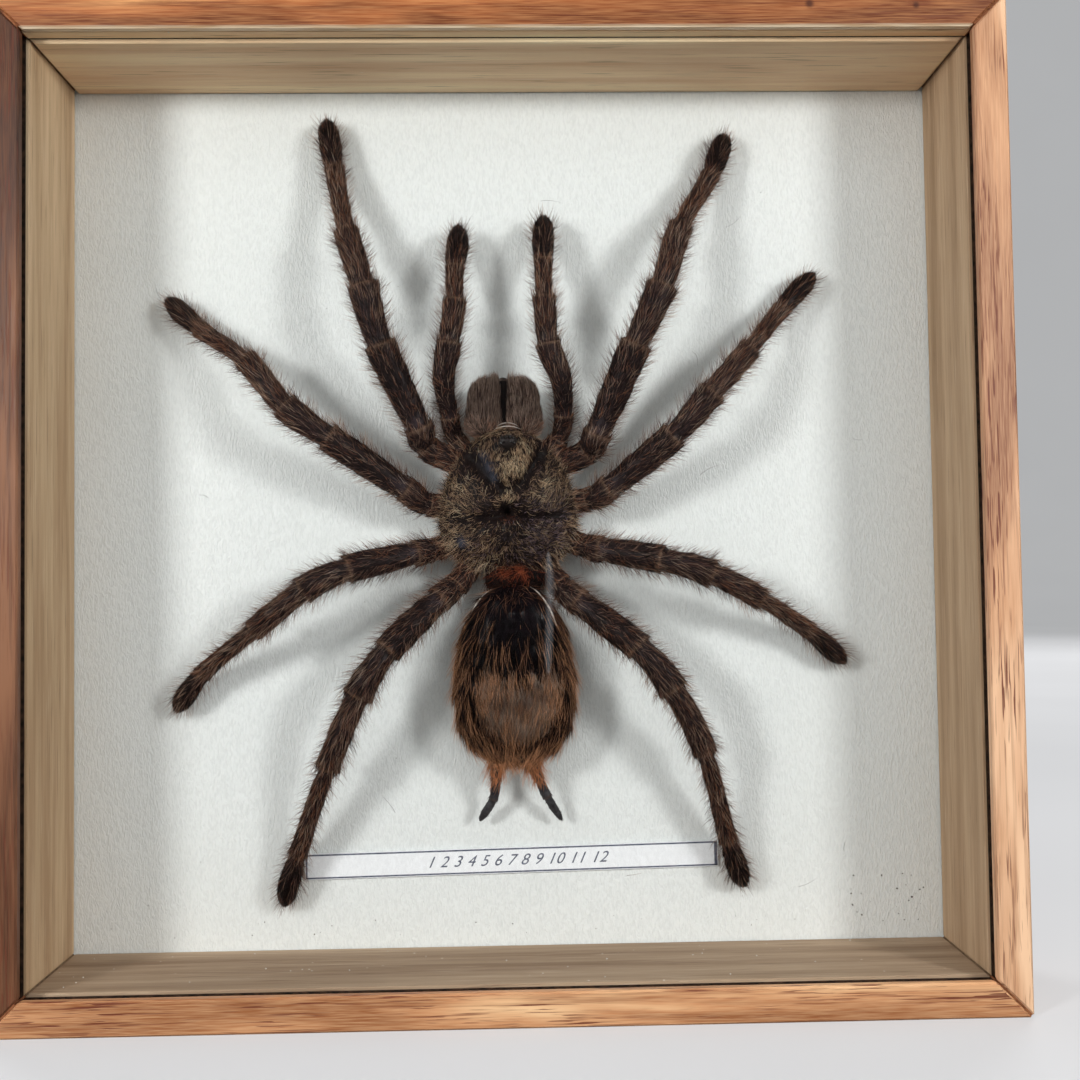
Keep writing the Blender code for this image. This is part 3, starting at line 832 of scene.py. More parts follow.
def carapace_surface(rng):
    """A dome of nested rings: raised head part, two furrows that run back to a pit, and rays."""
    around, levels = 96, 44
    turns = 2 * np.pi * np.arange(around) / around
    outline_x = np.sign(np.cos(turns)) * np.abs(np.cos(turns)) ** (2 / 2.3)
    outline_z = np.sign(np.sin(turns)) * np.abs(np.sin(turns)) ** (2 / 2.3)
    outline_x *= CARAPACE_HALF[0] * (1 - 0.2 * outline_z)
    outline_z *= CARAPACE_HALF[1]
    rings = []
    for level in range(levels):
        out = 0.02 + 0.98 * math.sin(level / (levels - 1) * math.pi / 2)
        x = CARAPACE_MIDDLE[0] * out + FOVEA[0] * (1 - out) + outline_x * out
        z = CARAPACE_MIDDLE[1] * out + FOVEA[1] * (1 - out) + outline_z * out
        dome = 4.0 * max(1 - out ** 2.8, 0) ** 0.75
        inside = 1 - out ** 6
        front = 2.6 * np.clip((z - 8.0) / 4.0, 0, 1) * np.clip(1.4 - np.abs(x) / 6.0, 0, 1)
        head = 1.9 * spot(x, z, (0.4, 7.6), (4.2, 6.0)) + 0.9 * spot(x, z, EYES_AT, (1.5, 1.2))
        pit = 1.5 * spot(x, z, FOVEA, (2.1, 0.9)) + 0.8 * cross_furrow(x, z, 0.4)
        rays = 0.0
        for angle in RAYS:
            end = (FOVEA[0] + 8.5 * math.cos(angle), FOVEA[1] + 8.5 * math.sin(angle))
            rays = rays + around_line(x, z, FOVEA, end, 0.7)
        relief = (head - pit - 1.2 * furrow_depth(x, z) - 0.35 * rays) * inside
        height = CARAPACE_RIM + dome + front + relief
        places = np.array([on_board(*p) for p in zip(x, z, height)])
        places[:, 1] += 0.1 * MM * drift(places, rng, 3.0)
        rings.append(places)
    rim = rings[-1]
    centre = np.array(on_board(*CARAPACE_MIDDLE, 0))
    for shrink, height in ((0.97, 5.7), (0.8, 5.5), (0.45, 5.0), (0.4, 3.2), (0.3, 2.4)):
        under = centre + (rim - centre) * shrink
        under[:, 1] = BOARD_Y - height * MM
        rings.append(under)
    rings = np.array(rings)
    x, z = board_places(rings)
    out = np.stack([x - FOVEA[0], np.zeros_like(x), z - FOVEA[1]], -1)
    marks = {
        "rim": np.zeros_like(x),
        "bald": around_line(x, z, *BALD_STREAK, 0.75) + 0.7 * spot(x, z, (-7.6, -5.6), (1.4, 1.5)),
        "x": x, "z": z,
        "top": np.repeat((np.arange(len(rings)) < levels).astype(float)[:, None], around, axis=1),
    }
    return Surface(rings, out, marks)


def carapace_flow(roots, normals, combs, rng):
    """Hairs run back along the head part and swirl outward round the pit behind it."""
    x, z = board_places(roots)
    head = np.clip(spot(x, z, (0.3, 8.0), (5.5, 6.0)) * 1.6, 0, 1)[:, None]
    swirl = (0.9 * np.sign(x) * np.clip(drift(roots, rng, 7.0) + 0.5, -0.6, 1.3))[:, None]
    turned = unit(combs + swirl * np.cross(normals, combs))
    back = np.stack([-0.12 * x, np.zeros_like(x), -np.ones_like(x) * 3], -1)
    mixed = head * unit(back) + (1 - head) * turned
    mixed += 0.35 * drift(roots, rng, 2.0)[:, None] * np.cross(normals, mixed)
    return unit(mixed - (mixed * normals).sum(-1, keepdims=True) * normals)


def thorax_weight(surface):
    """The upper side of the carapace, but for its furrows, its pit, the bald streak and the eyes."""
    x, z = surface.marks["x"], surface.marks["z"]
    bare = 1.4 * furrow_depth(x, z) + 1.3 * spot(x, z, FOVEA, (2.0, 0.9)) + 1.3 * cross_furrow(x, z, 0.5)
    bare = np.clip(bare + 1.2 * surface.marks["bald"] + 1.4 * spot(x, z, EYES_AT, (1.8, 1.35)), 0, 1)
    return surface.marks["top"] * (1 - 0.95 * bare)


def under_weight(surface):
    """Dark hair everywhere but on the eyes, the bald streak and the pit."""
    x, z = surface.marks["x"], surface.marks["z"]
    bare = surface.marks["bald"] + 1.4 * spot(x, z, EYES_AT, (2.0, 1.5)) + spot(x, z, FOVEA, (1.6, 0.7))
    return surface.marks["top"] * (1 - 0.95 * np.clip(bare, 0, 1))


def gold_weight(surface):
    """A golden wedge from the eyes to the pit, and golden clouds on both sides of it."""
    x, z = surface.marks["x"], surface.marks["z"]
    wedge = np.clip(0.9 + 0.33 * (z - 1.0), 0.9, 4.2)
    gold = 0.9 * np.exp(-(((x - 0.6) / wedge) ** 2)) * np.clip((z - 0.4) / 1.5, 0, 1)
    gold += 0.9 * spot(x, z, (2.9, 8.0), (1.8, 2.4))
    gold += 0.6 * spot(x, z, (-7.5, -0.5), (3.0, 4.2)) + 0.55 * spot(x, z, (6.5, 2.4), (3.4, 2.6))
    gold += 0.35 * spot(x, z, (-5.0, -6.0), (4.0, 3.0))
    return thorax_weight(surface) * gold


def dusk_weight(surface):
    """Two greyish places at the rear."""
    x, z = surface.marks["x"], surface.marks["z"]
    dusk = spot(x, z, (6.5, -5.0), (4.6, 4.6)) + 0.7 * spot(x, z, (-6.5, -8.5), (5.0, 2.6))
    return thorax_weight(surface) * (dusk + 0.02)


def edge_weight(surface):
    """The rim of the carapace, but not in front."""
    x, z = surface.marks["x"] - CARAPACE_MIDDLE[0], surface.marks["z"] - CARAPACE_MIDDLE[1]
    out = np.hypot(x / CARAPACE_HALF[0], z / CARAPACE_HALF[1])
    return surface.marks["top"] * np.clip((out - 0.86) / 0.1, 0, 1) * (z < 9)


def pit_weight(surface):
    """A rusty place just behind the pit."""
    return spot(surface.marks["x"], surface.marks["z"], (0.7, -2.0), (1.5, 0.7)) * surface.marks["top"]


CARAPACE_TONES = (
    (0.00, paint(11, 6, 6)), (0.20, paint(50, 33, 31)), (0.36, paint(160, 138, 148)),
    (0.50, paint(120, 90, 74)), (0.72, paint(210, 172, 134)), (0.88, paint(255, 236, 196)),
    (0.97, paint(184, 104, 74)),
)
CARAPACE_HAIR = (
    hair(6500, under_weight, (0.7, 1.3), (5, 16), 0.10, (0.02, 0.22),
         sway=0.3, rows=1, steer=carapace_flow),
    hair(3300, thorax_weight, (0.6, 1.3), (5, 16), 0.056, (0.46, 0.76),
         sway=0.6, steer=carapace_flow, wave=1.6, curl=0.5),
    hair(2500, gold_weight, (0.8, 1.7), (5, 22), 0.046, (0.44, 0.92),
         sway=0.5, rows=3, steer=carapace_flow, wave=1.6, curl=0.6),
    hair(380, thorax_weight, (0.9, 1.8), (6, 22), 0.055, (0.66, 0.88),
         sway=0.5, rows=3, steer=carapace_flow, wave=1.6, curl=0.8),
    hair(1800, dusk_weight, (0.6, 1.1), (5, 16), 0.085, (0.24, 0.38),
         sway=0.4, rows=1, steer=carapace_flow),
    hair(90, pit_weight, (0.4, 0.9), (20, 60), 0.06, (0.95, 0.97), sway=1.0, rows=2),
    hair(800, edge_weight, (1.4, 2.6), (6, 30), 0.07, (0.12, 0.24), sway=0.4),
    hair(600, edge_weight, (1.2, 2.8), (10, 45), 0.055, (0.90, 0.97), sway=0.5, rows=3, curl=0.6),
)

ABDOMEN_MIDDLE = (1.0, -27.4, 6.2)
ABDOMEN_HALF_LENGTH = 14.8
ABDOMEN_TALL = 5.7  # above its middle
ABDOMEN_POWER = 2.5


def abdomen_ring(t, turns):
    """An egg, widest towards the rear, a little sunken and dimpled in front."""
    swell = bulge(t, ABDOMEN_POWER)
    x = ABDOMEN_MIDDLE[0] + abdomen_half_width(t) * np.sin(turns)
    z = np.full_like(turns, ABDOMEN_MIDDLE[1] + t * ABDOMEN_HALF_LENGTH)
    dents = 0.5 * spot(x, z, (1.5, -17.4), (1.1, 0.8)) + 0.4 * spot(x, z, (1.2, -19.6), (1.3, 0.6))
    dents += 0.7 * spot(x, z, (1.0, -19.0), (4.0, 3.0))
    tall = np.where(np.cos(turns) > 0, ABDOMEN_TALL, 4.6) * swell
    height = ABDOMEN_MIDDLE[2] + tall * np.cos(turns) - dents * np.clip(np.cos(turns), 0, 1)
    return x, z, height


def abdomen_half_width(t):
    return 9.7 * bulge(t, ABDOMEN_POWER) * (1 - 0.16 * t)


def patch_shape(x, z, y):
    """The velvety patch on the rear half of the back: straight across the front, rounded behind."""
    middle_x, middle_z = 1.4, -31.0
    reach = np.hypot((x - middle_x) / 7.6, (z - middle_z) / 8.4)
    inside = np.clip((1.0 - reach) / 0.2, 0, 1)
    ragged = 0.6 * np.cos(1.9 * x) + 0.5 * np.sin(3.3 * x + 1.0) + 0.08 * (x - middle_x) ** 2
    front = np.clip((ragged - 28.0 - z) / 1.6, 0, 1)
    return inside * front * (y < BOARD_Y - ABDOMEN_MIDDLE[2] * MM)


def abdomen_flow(roots, normals, combs, rng):
    """Back over the sides, spreading in front and closing in behind."""
    x, z = board_places(roots)
    x, z = x - ABDOMEN_MIDDLE[0], z - ABDOMEN_MIDDLE[1]
    aside = 0.05 * x * np.clip(z / 8, -1, 1) + 0.16 * drift(roots, rng, 5.0)
    flow = np.stack([aside, 0.12 * drift(roots, rng, 4.0), -np.ones_like(x)], -1)
    return unit(flow - (flow * normals).sum(-1, keepdims=True) * normals)


def long_hair_weight(surface):
    """The back, thinly on its black front part and on the patch."""
    x, z = surface.marks["x"] - ABDOMEN_MIDDLE[0], surface.marks["z"]
    front = np.clip((-15.5 - z) / 6.0, 0, 1) ** 1.2
    middle_bare = 0.75 * spot(x, z, (0.0, -18.0), (4.5, 5.5))
    return facing(surface, 0.55, 0.04) * (0.1 + front) * (1 - middle_bare) * (1 - 0.9 * surface.marks["bald"])


def side_hair_weight(surface):
    """The flanks, but not in front."""
    sides = np.clip(1.1 - np.abs(surface.normals[..., 1]) * 1.3, 0, 1)
    return sides * np.clip((-16 - surface.marks["z"]) / 6.0, 0.05, 1)


def patch_weight(surface):
    return surface.marks["bald"] * facing(surface, 0, 0)


def patch_edge_weight(surface):
    """Golden hair along the ragged front edge of the patch and at its two sides."""
    x, z = surface.marks["x"] - 1.4, surface.marks["z"]
    golden = spot(x, z, (-5.6, -30.5), (1.8, 2.8)) + spot(x, z, (5.6, -30.5), (1.6, 2.8))
    golden += 0.6 * spot(x, z, (0.0, -28.0), (5.5, 0.8))
    return golden * facing(surface, 0, 0)


def rear_weight(surface):
    return np.clip((-37.5 - surface.marks["z"]) / 3.0, 0, 1) * facing(surface, 0.55, 0.04)


def tail_weight(surface):
    """The blunt end round the spinnerets, on all sides."""
    return np.clip((-39.6 - surface.marks["z"]) / 0.8, 0, 1)


def front_weight(surface):
    return np.clip((surface.marks["z"] + 18) / 3.0, 0, 1) * facing(surface, 0.55, 0.04)


ABDOMEN_TONES = (
    (0.00, paint(5, 3, 4)), (0.20, paint(24, 14, 14)), (0.40, paint(104, 66, 48)),
    (0.58, paint(200, 146, 108)), (0.74, paint(246, 176, 126)), (0.84, paint(104, 84, 74)),
    (1.00, paint(240, 212, 188)),
)
ABDOMEN_HAIR = (
    hair(6200, long_hair_weight, (1.4, 2.8), (3, 9), 0.11, (0.00, 0.20),
         sway=0.2, rows=1, steer=abdomen_flow, wave=2.0),
    hair(760, long_hair_weight, (3.6, 7.0), (3, 8), 0.038, (0.34, 0.70),
         sway=0.2, rows=4, steer=abdomen_flow, wave=2.0, curl=0.25, droop=0.9),
    hair(2200, side_hair_weight, (2.0, 4.0), (5, 16), 0.08, (0.03, 0.30),
         sway=0.18, rows=2, steer=abdomen_flow, droop=0.9),
    hair(1250, side_hair_weight, (2.6, 5.0), (8, 30), 0.043, (0.42, 0.70),
         sway=0.24, rows=3, steer=abdomen_flow, curl=0.25, droop=0.7),
    hair(5200, patch_weight, (0.8, 1.6), (5, 16), 0.07, (0.84, 1.00),
         sway=0.25, rows=1, steer=abdomen_flow),
    hair(520, patch_edge_weight, (1.4, 3.0), (4, 12), 0.06, (0.50, 0.66),
         sway=0.3, rows=3, steer=abdomen_flow),
    hair(700, patch_weight, (2.2, 4.4), (4, 12), 0.042, (0.28, 0.68), sway=0.2, rows=3, steer=abdomen_flow),
    hair(620, rear_weight, (1.8, 3.4), (4, 20), 0.06, (0.40, 0.76),
         sway=0.3, rows=3, steer=abdomen_flow, curl=0.5),
    hair(330, tail_weight, (2.6, 6.0), (2, 20), 0.06, (0.66, 0.76),
         sway=0.35, rows=4, steer=abdomen_flow, curl=1.3),
    hair(260, front_weight, (1.8, 3.4), (20, 50), 0.055, (0.20, 0.50),
         sway=0.5, rows=3, steer=abdomen_flow),
)

JAW_MIDDLE_Z = 17.0
JAW_HALF_LENGTH = 4.8
JAW_HALF_WIDTH = 2.8


def jaw_ring(middle_x, inner):
    """A jaw's basal part: round outside and in front, flat where it faces the other jaw."""

    def ring(t, turns):
        swell = bulge(t, 3.6)
        half = JAW_HALF_WIDTH * swell * (1 - 0.1 * t)
        squared = np.sign(np.sin(turns)) * np.abs(np.sin(turns)) ** 0.75
        meeting = np.where(squared * inner > 0, 0.92 + 0.2 * (1 - np.cos(turns)), 1.0)
        lean = inner * (0.2 * t + JAW_HALF_WIDTH * 0.85 * (1 - swell))
        z = np.full_like(turns, JAW_MIDDLE_Z + JAW_HALF_LENGTH * t)
        return middle_x + half * squared * meeting + lean, z, 6.5 + 3.3 * swell * np.cos(turns) + 0.3 * t

    return ring


def jaw_top(surface):
    """The upper side, leaving the gap between the jaws clear."""
    return facing(surface, 0.35, 0.05) * np.clip((np.abs(surface.marks["x"] + 0.4) - 0.55) / 0.3, 0, 1)


def jaw_base(surface):
    return jaw_top(surface) * np.clip((14.6 - surface.marks["z"]) / 1.5, 0, 1)


def jaw_front(surface):
    return np.clip((surface.marks["z"] - 19.6) / 1.5, 0, 1) * jaw_top(surface)


JAW_TONES = (
    (0.00, paint(20, 13, 12)), (0.25, paint(58, 43, 38)), (0.50, paint(102, 82, 72)),
    (0.75, paint(150, 128, 114)), (0.90, paint(186, 156, 138)), (1.00, paint(160, 96, 64)),
)
JAW_HAIR = (
    hair(3200, jaw_top, (1.2, 2.2), (3, 9), 0.09, (0.02, 0.50), sway=0.1, rows=1),
    hair(1100, jaw_top, (1.6, 2.8), (3, 8), 0.07, (0.50, 0.88), sway=0.12, curl=0.08),
    hair(220, jaw_front, (1.4, 2.6), (2, 16), 0.07, (0.50, 0.95), sway=0.3, rows=3),
    hair(200, jaw_base, (1.2, 2.0), (6, 20), 0.08, (0.90, 1.00), sway=0.5, rows=3),
)


# ---------------------------------------------------------------- make the spider


leg_cuticle = cuticle("leg_cuticle", paint(16, 10, 11), paint(44, 31, 29), 0.45)
spinneret_cuticle = cuticle("spinneret_cuticle", paint(34, 33, 36), paint(72, 70, 72), 0.45)
jaw_cuticle = cuticle("jaw_cuticle", paint(12, 8, 8), paint(34, 24, 22), 0.5)
leg_fur = fur("leg_fur", LEG_TONES)
carapace_fur = fur("carapace_fur", CARAPACE_TONES)
abdomen_fur = fur("abdomen_fur", ABDOMEN_TONES)
jaw_fur = fur("jaw_fur", JAW_TONES)
black = gloss_black()

tips = []
for number, (name, places) in enumerate(LEGS.items()):
    rng = np.random.default_rng(SEED + number)
    surface = limb_surface(places, LEG_HEIGHTS, LEG_SEGMENTS, LEG_THICKNESS[name[-1]], (), rng)
    show(f"{name}_skin", surface.mesh(name), leg_cuticle, "leg_skin", name)
    length = sum(math.dist(a, b) for a, b in zip(places, places[1:]))
    coat(f"{name}_fur", surface, scaled(LEG_HAIR, length / 78), leg_fur, "leg_skin", number + 1)
    tips.append(surface)
for number, (name, places) in enumerate(PALPS.items()):
    rng = np.random.default_rng(SEED + 20 + number)
    surface = limb_surface(places, PALP_HEIGHTS, PALP_SEGMENTS, 1.0, (3,), rng)
    surface.marks["bald"] *= 0.3
    show(f"{name}_skin", surface.mesh(name), leg_cuticle, "leg_skin", name)
    coat(f"{name}_fur", surface, scaled(LEG_HAIR, 0.45), leg_fur, "leg_skin", number + 21)
    tips.append(surface)


def spinneret_all(surface):
    return facing(surface, 0.6, 0.2)


def spinneret_base(surface):
    return (surface.marks["kind"] < 2) * spinneret_all(surface)


def spinneret_inner(surface):
    """All round the end of the first segment."""
    return (surface.marks["kind"] == 0) * (surface.marks["share"] > 0.3).astype(float)


SPINNERET_TONES = (
    (0.00, paint(44, 40, 42)), (0.40, paint(84, 78, 80)),
    (0.60, paint(150, 96, 66)), (1.00, paint(236, 156, 104)),
)
SPINNERET_HAIR = (
    hair(90, spinneret_inner, (2.4, 5.2), (4, 24), 0.07, (0.74, 1.0), sway=0.35, rows=4, curl=1.4),
    hair(420, spinneret_all, (0.4, 0.8), (8, 26), 0.07, (0.0, 0.5), sway=0.3),
    hair(240, spinneret_base, (1.2, 3.0), (5, 32), 0.06, (0.7, 1.0), sway=0.5, rows=3, curl=0.6),
)
spinneret_fur = fur("spinneret_fur", SPINNERET_TONES)
for number, (name, places) in enumerate(SPINNERETS.items()):
    rng = np.random.default_rng(SEED + 30 + number)
    surface = limb_surface(places, SPINNERET_HEIGHTS, SPINNERET_SEGMENTS, 1.0, (), rng)
    surface.marks["bald"] *= 0
    surface.marks["rim"] *= 0.3
    show(f"{name}_skin", surface.mesh(name), spinneret_cuticle, "spinneret_skin", name)
    coat(f"{name}_fur", surface, SPINNERET_HAIR, spinneret_fur, "spinneret_skin", number + 31)

carapace = carapace_surface(np.random.default_rng(SEED + 40))
show("carapace", carapace.mesh("carapace"), carapace_skin(), "carapace_skin", "cephalothorax")
coat("carapace_fur", carapace, CARAPACE_HAIR, carapace_fur, "carapace_skin", 41)

abdomen_rng = np.random.default_rng(SEED + 50)
abdomen = egg_surface(64, 72, 0.02, abdomen_ring, (0.16, 3.5), -1, abdomen_rng, patch_shape)
show("abdomen_skin", abdomen.mesh("abdomen"), abdomen_skin(), "abdomen_skin", "abdomen")
coat("abdomen_fur", abdomen, ABDOMEN_HAIR, abdomen_fur, "abdomen_skin", 51)

for number, (side, middle_x, inner) in enumerate((("left", -3.75, 1), ("right", 3.1, -1))):
    jaw_rng = np.random.default_rng(SEED + 60 + number)
    jaw = egg_surface(40, 40, 0.03, jaw_ring(middle_x, inner), (0.06, 2.0), 1, jaw_rng)
    show(f"chelicera_{side}_skin", jaw.mesh(side), jaw_cuticle, "jaw_skin", f"chelicera_{side}")
    coat(f"chelicera_{side}_fur", jaw, JAW_HAIR, jaw_fur, "jaw_skin", number + 61)


WAIST_MIDDLE = (1.0, -12.0, 5.4)


def waist_ring(t, turns):
    """The narrow dark waist between the two halves of the body."""
    swell = bulge(t, 2.0)
    z = np.full_like(turns, WAIST_MIDDLE[1] + 3.2 * t)
    return WAIST_MIDDLE[0] + 4.8 * swell * np.sin(turns), z, WAIST_MIDDLE[2] + 2.6 * swell * np.cos(turns)


def waist_all(surface):
    return facing(surface, 0.3, 0)


def waist_middle(surface):
    return waist_all(surface) * spot(surface.marks["x"], surface.marks["z"], (0.9, -10.6), (2.3, 1.0))


WAIST_TONES = (
    (0.00, paint(12, 7, 8)), (0.40, paint(34, 20, 19)),
    (0.60, paint(150, 66, 42)), (1.00, paint(240, 140, 92)),
)
WAIST_HAIR = (
    hair(1500, waist_all, (0.8, 1.8), (10, 40), 0.09, (0.0, 0.34), sway=0.6, rows=1),
    hair(330, waist_middle, (1.0, 2.6), (25, 70), 0.048, (0.50, 1.0), sway=1.2, rows=3, curl=0.9),
    hair(420, waist_all, (1.4, 3.2), (20, 65), 0.055, (0.30, 0.50), sway=1.0, rows=3, curl=0.9),
)
waist = egg_surface(36, 24, 0.05, waist_ring, (0.15, 2.0), -1, np.random.default_rng(SEED + 70))
show("waist_skin", waist.mesh("waist"), jaw_cuticle, "abdomen_skin")
coat("waist_fur", waist, WAIST_HAIR, fur("waist_fur", WAIST_TONES), "abdomen_skin", 71)


def tube(bm, rings):
    """Walls between rings of corners, and a cap at both ends."""
    for low, high in zip(rings, rings[1:]):
        for i, corner in enumerate(low):
            beside = (i + 1) % len(low)
            bm.faces.new((corner, low[beside], high[beside], high[i]))
    bm.faces.new(rings[0])
    bm.faces.new(rings[-1])


def ridge(bm, points, radius, sides=6):
    """A thin rounded ridge through points given in metres, tapered at both ends."""
    points = np.array(points)
    along = unit(np.gradient(points, axis=0))
    aside = unit(np.cross(along, (0.0, 1.0, 0.0)))
    upright = np.cross(aside, along)
    rings = []
    for i, centre in enumerate(points):
        taper = radius * MM * (math.sin(math.pi * (i + 0.5) / len(points)) ** 0.5)
        turns = (2 * math.pi * corner / sides for corner in range(sides))
        offsets = [aside[i] * math.cos(turn) + upright[i] * math.sin(turn) for turn in turns]
        rings.append([bm.verts.new(centre + taper * offset) for offset in offsets])
    tube(bm, rings)


def clypeus():
    """Two thin pale folds across the front of the head."""
    bm = bmesh.new()
    for z, height, reach in ((13.6, 10.7, 2.2), (14.2, 10.5, 1.7)):
        steps = np.linspace(-1, 1, 15)
        ridge(bm, [on_board(0.3 + reach * t, z - 0.45 * t * t, height - 0.5 * t * t) for t in steps], 0.07)
    return outward(bm)


def shoulder_folds():
    """Pale folds of dry skin along both shoulders of the abdomen."""
    bm = bmesh.new()
    for hand, start, end in ((-1, 0.955, 0.60), (1, 0.96, 0.52)):
        lean = 1.25 - 0.2 * hand
        points = []
        for t in np.linspace(start, end, 14):
            x = ABDOMEN_MIDDLE[0] + hand * abdomen_half_width(t) * math.sin(lean)
            height = ABDOMEN_MIDDLE[2] + ABDOMEN_TALL * bulge(t, ABDOMEN_POWER) * math.cos(lean) + 0.35
            points.append(on_board(x, ABDOMEN_MIDDLE[1] + t * ABDOMEN_HALF_LENGTH, height))
        ridge(bm, points, 0.16)
    return outward(bm)


def fangs():
    """Two curved fangs folded under the jaws."""
    bm = bmesh.new()
    for hand, middle in ((-1, -3.3), (1, 2.7)):
        points = []
        for t in np.linspace(0, 1, 12):
            height = 5.4 - 2.6 * math.sin(math.pi * 0.75 * t)
            points.append(on_board(middle - hand * 1.6 * t * t, 20.6 - 6.0 * t, height))
        ridge(bm, points, 0.75, 10)
    return outward(bm)


def rounded(name, middle, half, material, slot):
    """A smooth egg shape round (x, z, height), with its half sizes in the same order."""
    bm = bmesh.new()
    bmesh.ops.create_icosphere(bm, subdivisions=4, radius=1.0)
    for vertex in bm.verts:
        across, forward, up = vertex.co.x * half[0], vertex.co.z * half[1], -vertex.co.y * half[2]
        vertex.co = on_board(middle[0] + across, middle[1] + forward, middle[2] + up)
    finished(name, bm, material, slot)


# Eyes on their small hill: x and z from its middle, and radius
EYE_ROWS = (
    (-0.98, 0.5, 0.27), (-0.37, 0.58, 0.34), (0.37, 0.58, 0.34), (0.98, 0.5, 0.27),
    (-1.12, -0.3, 0.28), (-0.6, -0.25, 0.2), (0.6, -0.25, 0.2), (1.12, -0.3, 0.28),
)
TUBERCLE = (*EYES_AT, 12.1)
TUBERCLE_HALF = (1.55, 1.15, 0.95)


def eyes():
    """Eight balls half sunk in the hill."""
    bm = bmesh.new()
    for x, z, radius in EYE_ROWS:
        rest = 1 - (x / TUBERCLE_HALF[0]) ** 2 - (z / TUBERCLE_HALF[1]) ** 2
        height = TUBERCLE[2] + TUBERCLE_HALF[2] * math.sqrt(max(rest, 0.0))
        made = bmesh.ops.create_uvsphere(bm, u_segments=14, v_segments=10, radius=radius * MM)
        bmesh.ops.translate(bm, verts=made["verts"], vec=on_board(TUBERCLE[0] + x, TUBERCLE[1] + z, height))
    return bm


def claws(surfaces):
    """A pair of small curved claws at the tip of every leg and palp."""
    bm = bmesh.new()
    rear = np.array((0.0, 1.0, 0.0))
    turns = (0.0, 1.26, 2.51, 3.77, 5.03)
    for surface in surfaces:
        tip = surface.points[-1].mean(axis=0)
        ahead = unit(surface.combs[-1, 0])
        aside = unit(np.cross(ahead, rear))
        for hand in (-1, 1):
            rings = []
            for t in np.linspace(0, 1, 6):
                centre = tip + (ahead * t * 0.9 + aside * hand * 0.35 + rear * (t * t * 0.55 - 0.25)) * MM
                radius = 0.16 * MM * (1 - t) + 0.01 * MM
                offsets = [aside * math.cos(turn) - rear * math.sin(turn) for turn in turns]
                rings.append([bm.verts.new(centre + radius * offset) for offset in offsets])
            tube(bm, rings)
    return outward(bm)


pale_fold = dry_skin()
eye_cuticle = cuticle("eye_cuticle", paint(20, 16, 16), paint(44, 36, 34), 0.4)
finished("clypeus_folds", clypeus(), pale_fold, "carapace_skin")
finished("shoulder_folds", shoulder_folds(), pale_fold, "abdomen_skin")
rounded("eye_tubercle", TUBERCLE, TUBERCLE_HALF, eye_cuticle, "carapace_skin")
finished("eyes", eyes(), black, "carapace_skin")
rounded("mouth_base", (-0.4, 16.8, 4.8), (2.5, 6.0, 2.4), jaw_cuticle, "jaw_skin")
finished("fangs", fangs(), black, "jaw_skin")
finished("claws", claws(tips), black, "leg_skin")


# ---------------------------------------------------------------- frame, board and label

TOP_KNOTS = ((49 * MM, MIDDLE_Z + 78.6 * MM, 0.9 * MM), (66 * MM, MIDDLE_Z + 78.3 * MM, 0.7 * MM))
# Grain, then the rail's dark, middle, light and streak, its share of pores, and the liner's two tones. The
# liners are one taupe wood whose tones differ by side as painted light and shade, brightest on the top wall.
WOODS = {
    "top": ("X", (104, 50, 22), (166, 94, 50), (236, 168, 108), (92, 38, 16), 0.5,
            (224, 182, 142), (255, 230, 190)),
    "bottom": ("X", (156, 96, 56), (210, 148, 102), (252, 206, 156), (138, 78, 42), 0.9,
               (140, 115, 92), (186, 162, 136)),
    "left": ("Z", (50, 24, 12), (86, 49, 29), (140, 94, 64), (46, 20, 11), 0.45,
             (176, 144, 110), (222, 194, 158)),
    "right": ("Z", (148, 96, 64), (206, 152, 112), (250, 206, 166), (136, 80, 50), 0.9,
              (160, 130, 100), (202, 172, 140)),
}


def refinish(name, material):
    """Give a CAD node that is shown as it is a detailed material."""
    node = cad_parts[name]
    node.data.materials.clear()
    node.data.materials.append(material)


for side, (grain, dark, middle, light, streak, pores, liner_dark, liner_light) in WOODS.items():
    tones = [paint(*tone) for tone in (dark, middle, light, streak)]
    knots = TOP_KNOTS if side == "top" else ()
    refinish(f"frame_rail_{side}", oak(f"oak_{side}", grain, *tones, pores, knots))
    # Painted light and shade: each liner wall's tones are a lit or shaded copy of the same wood.
    refinish(f"liner_{side}", liner_wood(f"liner_{side}", grain, paint(*liner_dark), paint(*liner_light)))
steel = plated_steel()
refinish("glass", picture_glass())
refinish("white_board", embossed_card())
refinish("label", paper())
refinish("back_panel", hardboard())
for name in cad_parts:
    if name.startswith(("framer_point", "hanger_rivet", "sawtooth")):
        refinish(name, steel)
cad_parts["glass"].visible_shadow = False
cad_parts["glass"].visible_diffuse = False

SIDES = {"bottom": (0, -1), "left": (-1, 0), "top": (0, 1), "right": (1, 0)}


def block(bm, outline, front, rear):
    """A block with a four-cornered outline, given as (x, z), between two depths."""
    corners = [bm.verts.new((x, y, z)) for y in (front, rear) for x, z in outline]
    a, b, c, d, e, f, g, h = corners
    for face in ((a, b, c, d), (e, h, g, f), (a, e, f, b), (b, f, g, c), (c, g, h, d), (d, h, e, a)):
        bm.faces.new(face)


def mitred_strip(bm, side, near, far, front, rear):
    """A strip along one side, from near to far out of the middle of the opening."""
    out_x, out_z = SIDES[side]
    ends = ((near, -near), (near, near), (far, far), (far, -far))
    outline = [(out_x * out + out_z * along, MIDDLE_Z + out_z * out - out_x * along) for out, along in ends]
    block(bm, outline, front, rear)


def mitre_plate(bm, hand, up, near, far, front, rear):
    """A thin plate in the gap between two mitred ends."""
    half = 0.11 * MM
    ends = ((near, -half), (near, half), (far, half), (far, -half))
    outline = [(hand * (reach + aside), MIDDLE_Z + up * (reach - aside)) for reach, aside in ends]
    block(bm, outline, front, rear)


